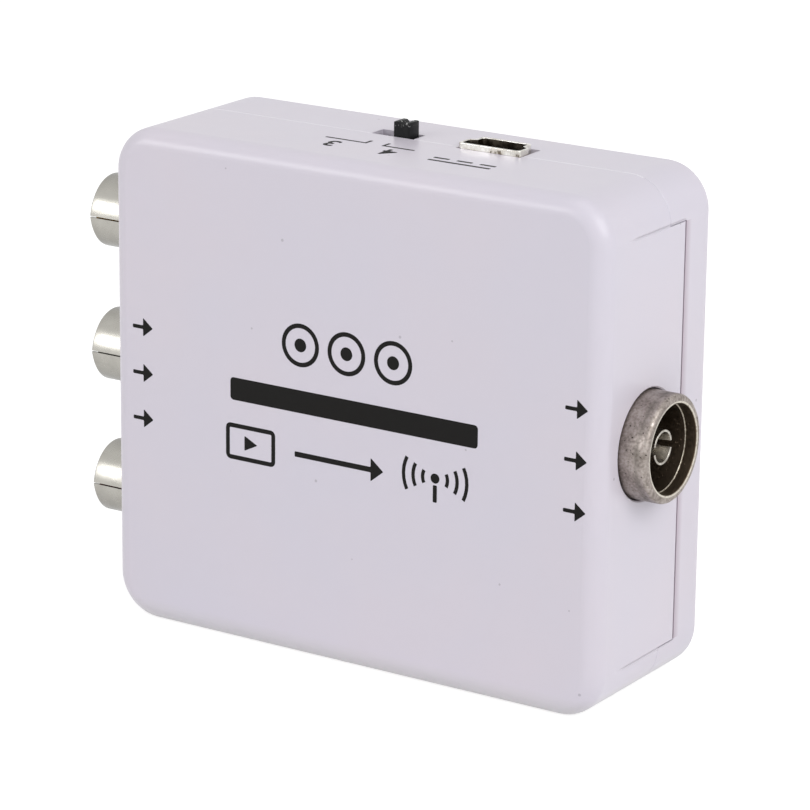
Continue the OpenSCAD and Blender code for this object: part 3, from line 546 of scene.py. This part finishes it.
def inkShape(bm, outline, roundBy, holeBy=0):  # a flat shape from its corners, rounded, hollow with holeBy
    face = bm.faces.new([bm.verts.new((x, y, 0)) for x, y in outline])
    corners = list(face.verts)
    if roundBy:
        made = bevel(bm, corners, roundBy, "VERTICES", 4, True)
        face = max((f for v in made["verts"] for f in v.link_faces), key=lambda f: f.calc_area())
    if holeBy:
        bmesh.ops.inset_region(bm, faces=[face], thickness=holeBy, use_boundary=True, use_even_offset=True)
        bmesh.ops.delete(bm, geom=[face], context="FACES")


def inkRing(bm, centre, radius, stroke, start=0, turn=2 * pi, steps=40):  # a ring, or an arc of one
    ends = [bm.verts.new((centre[0] + r * cos(start), centre[1] + r * sin(start), 0))
            for r in (radius - stroke / 2, radius + stroke / 2)]
    whole = turn > 2 * pi - weldReach
    bmesh.ops.spin(bm, geom=ends + [bm.edges.new(ends)], cent=(*centre, 0), axis=(0, 0, 1), angle=turn,
                   steps=max(4, round(steps * turn / 2 / pi)), use_merge=whole, use_duplicate=False)


def inkDot(bm, centre, radius, steps=28):
    bmesh.ops.create_circle(bm, cap_ends=True, radius=radius, segments=steps,
                            matrix=Matrix.Translation((*centre, 0)))


def inkBar(bm, x0, y0, x1, y1, roundBy):
    inkShape(bm, [(x0, y0), (x1, y0), (x1, y1), (x0, y1)], roundBy)


def inkArrow(bm, centre, length, head, stroke):  # one outline, pointing along +X
    half, tip = stroke / 2, length / 2
    neck = tip - head * ink["arrowNeck"]
    outline = [(-tip, -half), (neck, -half), (neck, -head / 2), (tip, 0), (neck, head / 2), (neck, half),
               (-tip, half)]
    inkShape(bm, [(centre[0] + x, centre[1] + y) for x, y in outline], ink["arrowRound"])


def finishInk(bm, name, place):  # gives the flat signs their thickness and lays them on a face of the case
    bmesh.ops.remove_doubles(bm, verts=bm.verts, dist=weldReach)
    bmesh.ops.recalc_face_normals(bm, faces=bm.faces)
    flipped = [f for f in bm.faces if f.normal.z < 0]
    bmesh.ops.reverse_faces(bm, faces=flipped)
    flat = list(bm.faces)
    grown = bmesh.ops.extrude_face_region(bm, geom=flat)
    lifted = [g for g in grown["geom"] if isinstance(g, bmesh.types.BMVert)]
    bmesh.ops.translate(bm, verts=lifted, vec=(0, 0, ink["thickness"]))
    bmesh.ops.delete(bm, geom=[f for f in flat if f.is_valid], context="FACES_ONLY")
    bmesh.ops.transform(bm, matrix=place, verts=bm.verts)
    addPiece(bm, name, "screenInk")


# Matrices that lay a drawing on the front face, and on the top side as read from behind
onFront = Matrix.Translation((0, frontFace, 0)) @ Matrix.Rotation(pi / 2, 4, "X")
onTop = Matrix.Translation((0, 0, topFace)) @ Matrix.Rotation(pi, 4, "Z")

frontSigns = {
    "bar": (-15.25, 27.72, 16.3, 30.26), "barRound": 0.42,
    "rings": {"centreX": -0.2, "z": 35.25, "pitch": 5.9, "radius": 2.15, "stroke": 0.5, "dot": 0.75},
    "screen": (-15.85, 21.0, -9.35, 25.1), "screenStroke": 0.5, "screenRound": 0.6,
    "play": (-13.4, 23.05, 1.7), "playRound": 0.12,
    "arrow": {"x": -1.1, "z": 23.05, "length": 11.4, "head": 2.6, "stroke": 0.6},
    "mast": {"x": 11.1, "foot": 20.9, "top": 23.55, "stroke": 0.5, "round": 0.12, "gap": 0.75, "dot": 0.55},
    "waves": {"radii": (1.55, 2.75, 3.95), "stroke": 0.42, "spread": 54},
}


def makeFrontSigns(spec):
    bm = bmesh.new()
    x0, z0, x1, z1 = spec["bar"]
    inkBar(bm, x0, z0, x1, z1, spec["barRound"])
    rings = spec["rings"]
    for step in (-1, 0, 1):  # three sockets seen from the front
        centre = (rings["centreX"] + step * rings["pitch"], rings["z"])
        inkRing(bm, centre, rings["radius"], rings["stroke"])
        inkDot(bm, centre, rings["dot"])
    x0, z0, x1, z1 = spec["screen"]  # a screen
    inkShape(bm, [(x0, z0), (x1, z0), (x1, z1), (x0, z1)], spec["screenRound"], spec["screenStroke"])
    x, z, size = spec["play"]
    inkShape(bm, [(x, z - size / 2), (x + size, z), (x, z + size / 2)], spec["playRound"])
    arrow = spec["arrow"]
    inkArrow(bm, (arrow["x"], arrow["z"]), arrow["length"], arrow["head"], arrow["stroke"])
    mast = spec["mast"]  # a mast that sends
    half = mast["stroke"] / 2
    inkBar(bm, mast["x"] - half, mast["foot"], mast["x"] + half, mast["top"] - mast["gap"], mast["round"])
    inkDot(bm, (mast["x"], mast["top"]), mast["dot"])
    waves = spec["waves"]
    spread = radians(waves["spread"])
    for radius in waves["radii"]:
        for side in (0, pi):
            inkRing(bm, (mast["x"], mast["top"]), radius, waves["stroke"], side - spread / 2, spread)
    finishInk(bm, "frontSigns", onFront)


sideSigns = {
    "inputX": -27.0, "outputX": 28.1, "inputZs": (33.9, 28.7, 23.5), "outputZs": (34.1, 28.6, 23.1),
    "length": 2.7, "head": 2.1, "stroke": 0.42,
}


def makeSideSigns(spec):
    bm = bmesh.new()
    for x, zs in ((spec["inputX"], spec["inputZs"]), (spec["outputX"], spec["outputZs"])):
        for z in zs:
            inkArrow(bm, (x, z), spec["length"], spec["head"], spec["stroke"])
    finishInk(bm, "sideSigns", onFront)


# In onTop's drawing, +X is towards the phono side and +Y towards the front face
topSigns = {
    "stroke": 0.32, "brackets": ((3.75, 8.85, 2.4, 1.25), (1.45, -2.45, 2.45, 1.25)),
    "digits": (("3", 6.6), ("4", -0.6)), "digitY": 4.5, "digitSize": 3.3, "digitBold": 0.07,
    "power": {"x0": -13.4, "x1": -5.8, "y": 4.75, "gap": 0.75, "stroke": 0.42, "round": 0.05, "dashes": 3,
              "space": 0.5},  # space: between the dashes, as a share of a dash
}


def makeTopSigns(spec):
    bm = bmesh.new()
    half = spec["stroke"] / 2
    for tickX, farX, y, tick in spec["brackets"]:  # a line whose end turns back towards the knob
        inward = half if farX > tickX else -half
        inkShape(bm, [(tickX - inward, y - tick), (tickX + inward, y - tick), (tickX + inward, y - half),
                      (farX, y - half), (farX, y + half), (tickX - inward, y + half)], 0)
    power = spec["power"]  # the sign for direct current
    inkBar(bm, power["x0"], power["y"], power["x1"], power["y"] + power["stroke"], power["round"])
    pitch = 1 + power["space"]
    span = (power["x1"] - power["x0"]) / (power["dashes"] * pitch - power["space"])
    for step in range(power["dashes"]):
        x = power["x0"] + step * span * pitch
        y = power["y"] - power["gap"] - power["stroke"]
        inkBar(bm, x, y, x + span, y + power["stroke"], power["round"])
    finishInk(bm, "topSigns", onTop)
    for digit, x in spec["digits"]:
        curve = bpy.data.curves.new("digit" + digit, "FONT")
        curve.body = digit
        curve.size = spec["digitSize"]
        curve.offset = spec["digitBold"]
        curve.align_x = "CENTER"
        curve.align_y = "CENTER"
        holder = bpy.data.objects.new("digit" + digit, curve)
        mesh = bpy.data.meshes.new_from_object(holder)
        bm = bmesh.new()
        bm.from_mesh(mesh)
        bpy.data.objects.remove(holder)
        bmesh.ops.translate(bm, verts=bm.verts, vec=(x, spec["digitY"], 0))
        finishInk(bm, "channel" + digit, onTop)


makeFrontSigns(frontSigns)
makeSideSigns(sideSigns)
makeTopSigns(topSigns)
print("signs printed")


# Turned and rolled pieces: a section is drawn in the plane Y = 0 as points of x and radius, its corners are
# rounded, and it is spun about the X axis

def makeSection(bm, points, rounds, segments=4):  # rounds: how far to round a corner, by its number
    verts = [bm.verts.new((x, 0, radius)) for x, radius in points]
    bm.faces.new(verts)
    for index, radius in rounds.items():
        bevel(bm, [verts[index]], radius, "VERTICES", segments)


def spinSection(bm, centre, start, turn, steps):
    section = list(bm.faces)
    around = Vector((0, centre[1], centre[2]))
    bmesh.ops.rotate(bm, cent=(0, 0, 0), matrix=Matrix.Rotation(start, 3, "X"), verts=bm.verts)
    bmesh.ops.translate(bm, vec=around, verts=bm.verts)
    whole = turn > 2 * pi - weldReach
    geom = section + list(bm.edges) + list(bm.verts)
    if whole:
        geom = list(bm.edges) + list(bm.verts)
        bmesh.ops.delete(bm, geom=section, context="FACES_ONLY")
    bmesh.ops.spin(bm, geom=geom, cent=around, axis=(1, 0, 0), angle=turn, steps=steps, use_merge=whole,
                   use_duplicate=False)
    bmesh.ops.remove_doubles(bm, verts=bm.verts, dist=weldReach)
    bmesh.ops.recalc_face_normals(bm, faces=bm.faces)


def addTo(bm, other):  # moves all of another bmesh into this one
    mesh = bpy.data.meshes.new("joined")
    other.to_mesh(mesh)
    other.free()
    bm.from_mesh(mesh)
    bpy.data.meshes.remove(mesh)


def addRod(bm, centre, axis, length, radius, steps=24, edge=0.05):  # a short rod from centre along axis
    made = bmesh.ops.create_cone(bm, cap_ends=True, segments=steps, radius1=radius, radius2=radius,
                                 depth=length)
    ends = set(made["verts"])
    rim = [e for e in bm.edges if e.verts[0] in ends and abs(e.verts[0].co.z - e.verts[1].co.z) < weldReach]
    bevelled = bevel(bm, rim, edge, "EDGES", 2)
    ends.update(bevelled["verts"])
    verts = [v for v in bm.verts if v in ends]
    turned = Vector(axis).to_track_quat("Z", "Y").to_matrix().to_4x4()
    place = Matrix.Translation(Vector(centre) + Vector(axis) * length / 2) @ turned
    bmesh.ops.transform(bm, matrix=place, verts=verts)


# Phono barrels: sheet brass rolled up and plated, with a round lip at the mouth. The two edges of the sheet
# meet in a narrow seam towards the front, and there the roll is a little peaked

barrel = {
    "outer": 4.15, "sheet": 0.35, "neck": 0.2, "neckLength": 3.93, "flange": 4.6, "flangeSheet": 0.4,
    "lip": 0.45,  # a share of the sheet
    "bend": 0.1, "corner": 0.05, "seam": 0.16, "peak": 0.2, "peakReach": 0.6, "steps": 110, "lengths": 6,
    "legWidth": 1, "sharp": 30,
}


def makeBarrel(spec, which):
    low, high = boxOf("phono_barrel_" + which)
    axis = mountPlace["phono_" + which]
    outer, sheet = spec["outer"], spec["sheet"]
    mouth, back = low.x, high.x
    neckFront = back - spec["neckLength"] - spec["flangeSheet"]
    neck = outer - spec["neck"]
    bm = bmesh.new()
    lengths = spec["lengths"]
    along = [mouth + (neckFront - mouth) * step / lengths for step in range(1, lengths)]
    points = [(mouth, outer - sheet), (mouth, outer)] + [(x, outer) for x in along]
    points += [(neckFront, outer), (neckFront, neck), (back - spec["flangeSheet"], neck),
               (back - spec["flangeSheet"], spec["flange"]), (back, spec["flange"]), (back, neck - sheet),
               (neckFront - sheet, neck - sheet), (neckFront - sheet, outer - sheet)]
    lip = sheet * spec["lip"]
    makeSection(bm, points, {0: lip, 1: lip, lengths + 1: spec["bend"], len(points) - 2: spec["corner"]})
    gap = spec["seam"] / outer
    # The section starts upright, and -Y lies a quarter turn on
    spinSection(bm, axis, pi / 2 + gap / 2, 2 * pi - gap, spec["steps"])
    for vert in bm.verts:  # the roll is peaked at its seam
        out = Vector((0, vert.co.y - axis.y, vert.co.z - axis.z))
        away = abs(atan2(out.z, -out.y))
        if away < spec["peakReach"] and vert.co.x < neckFront - spec["bend"]:
            vert.co += out.normalized() * spec["peak"] * (1 - away / spec["peakReach"]) ** 2
    half = spec["legWidth"] / 2
    addBlock(bm, (back - spec["flangeSheet"], axis.y + outer, axis.z - half), (back, high.y, axis.z + half))
    shadeByAngle(bm, spec["sharp"])
    addPiece(bm, "rolledBarrel." + which, "rolledNickel", "case", ["phono_barrel_" + which])


# Centre contacts of the phono sockets: four springy fingers round the pin, closed at the back

phonoSpring = {
    "outer": 1.95, "wall": 0.3, "slit": 0.45, "fingers": 4, "fingerLength": 5.5, "waistDepth": 1.1,
    "pinch": 0.16, "tipRound": 0.08, "outerRound": 0.12, "fingerSteps": 14, "depth": 8.8, "floor": 1,
    "pith": 0.2, "endRound": 0.15, "tubeSteps": 48, "overlap": 0.01, "stem": 0.45, "stemOverlap": 0.05,
}


def makePhonoSpring(spec, which):
    low, high = boxOf("phono_contact_" + which)
    axis = mountPlace["phono_" + which]
    outer, pinch, mouth = spec["outer"], spec["pinch"], low.x
    inner = outer - spec["wall"]
    fingerEnd = mouth + spec["fingerLength"]
    end = mouth + spec["depth"]
    bm = bmesh.new()
    turn = 2 * pi / spec["fingers"] - spec["slit"] / outer
    waist = mouth + spec["waistDepth"]  # each finger bends in to its waist and out again at the mouth
    for finger in range(spec["fingers"]):
        one = bmesh.new()
        makeSection(one, [(mouth, inner), (mouth, outer), (waist, outer - pinch), (fingerEnd, outer),
                          (fingerEnd, inner), (waist, inner - pinch)],
                    {0: spec["tipRound"], 1: spec["outerRound"]})
        spinSection(one, axis, (finger + 0.5) * 2 * pi / spec["fingers"] - turn / 2, turn,
                    spec["fingerSteps"])
        addTo(bm, one)
    tube = bmesh.new()
    front, floor, pith = fingerEnd - spec["overlap"], end - spec["floor"], spec["pith"]
    makeSection(tube, [(front, inner), (front, outer), (end, outer), (end, pith), (floor, pith),
                       (floor, inner)], {2: spec["endRound"]})
    spinSection(tube, axis, 0, 2 * pi, spec["tubeSteps"])
    addTo(bm, tube)
    start = end - spec["stemOverlap"]
    addRod(bm, (start, axis.y, axis.z), (1, 0, 0), high.x - start, spec["stem"])
    addRod(bm, (high.x - spec["stem"], axis.y, axis.z), (0, 1, 0), high.y - axis.y, spec["stem"])
    shadeByAngle(bm)
    addPiece(bm, "phonoSpring." + which, "springBrass", "case", ["phono_contact_" + which])


for which in phonoInsulators:
    makeBarrel(barrel, which)
    makePhonoSpring(phonoSpring, which)
print("phono sockets made")


# Ring of the aerial socket: die cast in one piece with its square foot, its surface a little uneven

ring = {
    "outer": 5.85, "bore": 4.75, "mouth": 4.85, "mouthDepth": 1.3, "boreDepth": 10, "backWall": 2.2,
    "tailHole": 2.13, "rim": 0.55, "lip": 0.13, "ledge": 0.07, "backRound": 0.3, "segments": 6,
    "lengths": 16, "steps": 144, "uneven": 0.035, "unevenSize": 1.3, "unevenMiddle": 0.6,
    "unevenFrom": 0.2, "footWidth": 10.4, "footEdge": 0.25, "footGap": 1.63, "footRise": 0.8,
    "leg": 0.55, "legInset": 1.3, "legStart": 0.1, "sharp": 40,
}


def makeRing(spec):
    low, high = boxOf("aerial_ring")
    axis = mountPlace["aerial_socket"]
    mouth, back = high.x, low.x
    outer, ledgeX = spec["outer"], mouth - spec["mouthDepth"]
    floor = mouth - spec["boreDepth"]
    bm = bmesh.new()
    lengths = spec["lengths"]
    along = [back + (mouth - back) * step / lengths for step in range(1, lengths)]
    points = [(mouth, spec["mouth"]), (ledgeX, spec["mouth"]), (ledgeX, spec["bore"]), (floor, spec["bore"]),
              (floor, spec["tailHole"]), (back, spec["tailHole"]), (back, outer)]
    points += [(x, outer) for x in along] + [(mouth, outer)]
    makeSection(bm, points, {0: spec["lip"], 2: spec["ledge"], 6: spec["backRound"],
                             len(points) - 1: spec["rim"]}, spec["segments"])
    spinSection(bm, axis, 0, 2 * pi, spec["steps"])
    for vert in bm.verts:
        out = Vector((0, vert.co.y - axis.y, vert.co.z - axis.z))
        if out.length > spec["mouth"] + spec["unevenFrom"]:
            swell = noise.noise(vert.co / spec["unevenSize"]) - spec["unevenMiddle"]
            vert.co += out.normalized() * swell * spec["uneven"]
    footEnd = sideFace - spec["footGap"]
    footFront = axis.y + outer * spec["footRise"]
    half = spec["footWidth"] / 2
    addBlock(bm, (back, footFront, axis.z - half), (footEnd, boardFront, axis.z + half), spec["footEdge"])
    for x in (back + spec["legInset"], footEnd - spec["legInset"]):
        for side in (-1, 1):
            z = axis.z + side * (half - spec["legInset"])
            start = boardFront - spec["legStart"]
            addRod(bm, (x, start, z), (0, 1, 0), high.y - start, spec["leg"])
    shadeByAngle(bm, spec["sharp"])
    addPiece(bm, "castRing", "castNickel", "case", ["aerial_ring"])


# Centre contact of the aerial socket: a turned tube slit into two fingers, thin at its flared mouth

aerialSpring = {
    "outer": 1.9, "flare": 1.62, "bore": 1.25, "flareDepth": 2.2, "depth": 5.5, "slitAngle": 13,
    "flareRound": 0.3, "rim": 0.07, "fingerSteps": 36, "pith": 0.2, "overlap": 0.01, "backRound": 0.1,
    "bodySteps": 60, "stem": 0.45, "stemOverlap": 0.1,
}


def makeAerialSpring(spec):
    low, high = boxOf("aerial_contact")
    axis = mountPlace["aerial_socket"]
    tip, outer = high.x, spec["outer"]
    fingerEnd = tip - spec["depth"]
    back = axis.x - ring["boreDepth"] + ring["backWall"]
    slit = radians(spec["slitAngle"])
    bm = bmesh.new()
    for start in (pi / 2 + slit, 3 * pi / 2 + slit):
        finger = bmesh.new()
        makeSection(finger, [(fingerEnd, spec["bore"]), (tip - spec["flareDepth"], spec["bore"]),
                             (tip, spec["flare"]), (tip, outer), (fingerEnd, outer)],
                    {1: spec["flareRound"], 2: spec["rim"], 3: spec["rim"]})
        spinSection(finger, axis, start, pi - 2 * slit, spec["fingerSteps"])
        addTo(bm, finger)
    body = bmesh.new()
    front, pith = fingerEnd + spec["overlap"], spec["pith"]
    makeSection(body, [(back, pith), (front, pith), (front, outer), (back, outer)], {3: spec["backRound"]})
    spinSection(body, axis, 0, 2 * pi, spec["bodySteps"])
    addTo(bm, body)
    stem = spec["stem"]
    addRod(bm, (low.x, axis.y, axis.z), (1, 0, 0), back - low.x + spec["stemOverlap"], stem)
    addRod(bm, (low.x + stem, axis.y, axis.z), (0, 1, 0), high.y - axis.y, stem)
    shadeByAngle(bm)
    addPiece(bm, "aerialSpring", "springNickel", "case", ["aerial_contact"])


makeRing(ring)
makeAerialSpring(aerialSpring)
print("aerial socket made")


# Sleeve of the power socket: the folded sheet with its cut edge at the mouth worn round

sleeve = {"edge": 0.07, "segments": 3, "mergeReach": 1e-3, "flatAngle": radians(1),
          "rimAngle": radians(60), "wallTilt": 0.1}


def makeSleeve(spec):
    bm = bmesh.new()
    bm.from_mesh(nodes["usb_sleeve"].data)
    bmesh.ops.scale(bm, vec=(perMetre, perMetre, perMetre), verts=bm.verts)
    bmesh.ops.remove_doubles(bm, verts=bm.verts, dist=spec["mergeReach"])
    bmesh.ops.dissolve_limit(bm, angle_limit=spec["flatAngle"], verts=bm.verts, edges=bm.edges)
    top = max(v.co.z for v in bm.verts)
    rim = [e for e in bm.edges if min(v.co.z for v in e.verts) > top - spec["mergeReach"]
           and len(e.link_faces) == 2 and e.calc_face_angle() > spec["rimAngle"]]
    bevel(bm, rim, spec["edge"], "EDGES", spec["segments"], True)
    bmesh.ops.recalc_face_normals(bm, faces=bm.faces)
    low, high = boxOf("usb_sleeve")
    # faces of the inner walls are marked for the painted dark reflection
    inside = bm.faces.layers.float.new("inside")
    for face in bm.faces:
        out = face.calc_center_median() - (low + high) / 2
        inwards = out.x * face.normal.x + out.y * face.normal.y < 0
        face[inside] = float(inwards and abs(face.normal.z) < spec["wallTilt"])
    shadeByAngle(bm)
    addPiece(bm, "powerSleeve", "platedSteel", "case", ["usb_sleeve"])


makeSleeve(sleeve)
print("power socket made")


# Knob of the channel switch: bevelled, with its notch, over the wide foot that the frame holds down

knob = {"width": 2, "depth": 1.95, "notch": 0.45, "edge": 0.09, "footHeight": 1.3, "footEdge": 0.06}


def makeKnob(spec):
    low, high = boxOf("switch_slider")
    middle = (low + high) / 2
    footTop = low.z + spec["footHeight"]
    half, depth = spec["width"] / 2, spec["depth"]
    bm = bmesh.new()
    notch = spec["notch"]
    profile = [(-half, footTop), (half, footTop), (half, high.z), (notch, high.z), (0, high.z - notch),
               (-notch, high.z), (-half, high.z)]
    face = bm.faces.new([bm.verts.new((middle.x + x, middle.y - depth / 2, z)) for x, z in profile])
    grown = bmesh.ops.extrude_face_region(bm, geom=[face])
    bmesh.ops.translate(bm, verts=[g for g in grown["geom"] if isinstance(g, bmesh.types.BMVert)],
                        vec=(0, depth, 0))
    upper = [e for e in bm.edges if max(v.co.z for v in e.verts) > footTop + weldReach]
    bevel(bm, upper, spec["edge"], "EDGES", 3, True)
    addBlock(bm, low, (high.x, high.y, footTop), spec["footEdge"])
    bmesh.ops.recalc_face_normals(bm, faces=bm.faces)
    shadeByAngle(bm)
    addPiece(bm, "switchKnob", "spottedAcetal", "slider", ["switch_slider"])


makeKnob(knob)
print("knob made")


# Floor, world and lamps

studio = {
    "floorColour": "#f4f4f4", "floorSize": 6, "floorShare": 0.55, "floorGlow": 1.5,
    "white": "#ffffff", "skyStrength": 0.48,
    # each lamp: azimuth from the front and elevation in degrees, distance and sides in metres, radiance
    "lamps": {
        "leftSoftbox": (-37, 21, 0.9, 0.46, 0.3, 3.6),
        "rightSoftbox": (72, 34, 0.9, 0.7, 0.6, 3.0),
        "topSoftbox": (10, 82, 0.9, 0.6, 0.6, 0.6),
    },
}


def seenDirectly(tree):  # 1 for what the camera sees, itself or through polished metal
    path = addNode(tree, "LightPath")
    direct = addNode(tree, "Math", (path.outputs["Is Camera Ray"], path.outputs["Is Glossy Ray"]),
                     operation="ADD")
    return addNode(tree, "Math", (direct, path.outputs["Is Transmission Ray"]), operation="ADD",
                   use_clamp=True)


def addStudio(spec):
    bm = bmesh.new()
    bmesh.ops.create_grid(bm, x_segments=1, y_segments=1, size=spec["floorSize"] / 2)
    mesh = bpy.data.meshes.new("floor")
    bm.to_mesh(mesh)
    bm.free()
    floor = bpy.data.objects.new("floor", mesh)
    scene.collection.objects.link(floor)
    paper = bpy.data.materials.new("whitePaper")
    tree = emptyTree(paper)
    matt = addNode(tree, "BsdfDiffuse", {"Color": spec["floorColour"]})
    glow = addNode(tree, "Emission", {"Color": spec["white"], "Strength": spec["floorGlow"]})
    share = addNode(tree, "Math", (seenDirectly(tree), spec["floorShare"]), operation="MULTIPLY")
    addNode(tree, "OutputMaterial", {"Surface": addNode(tree, "MixShader", (share, matt, glow))})
    mesh.materials.append(paper)
    world = bpy.data.worlds.new("studioWorld")
    tree = emptyTree(world)
    sky = addNode(tree, "Background", {"Color": spec["white"], "Strength": spec["skyStrength"]})
    seen = addNode(tree, "Background", {"Color": spec["white"], "Strength": 1})
    mixed = addNode(tree, "MixShader", (seenDirectly(tree), sky, seen))
    addNode(tree, "OutputWorld", {"Surface": mixed})
    scene.world = world
    middle = Vector((0, 0, topFace / 2)) / perMetre
    for name, (azimuth, elevation, distance, width, height, radiance) in spec["lamps"].items():
        data = bpy.data.lights.new(name, "AREA")
        data.shape = "RECTANGLE"
        data.size, data.size_y = width, height
        data.energy = radiance * pi * width * height
        lamp = bpy.data.objects.new(name, data)
        scene.collection.objects.link(lamp)
        turn, rise = radians(azimuth), radians(elevation)
        away = Vector((sin(turn) * cos(rise), -cos(turn) * cos(rise), sin(rise)))
        facing = away.to_track_quat("Z", "Y").to_matrix().to_4x4()
        lamp.matrix_world = Matrix.Translation(middle + away * distance) @ facing


addStudio(studio)
scene.view_settings.view_transform = "Standard"
print("studio lit")
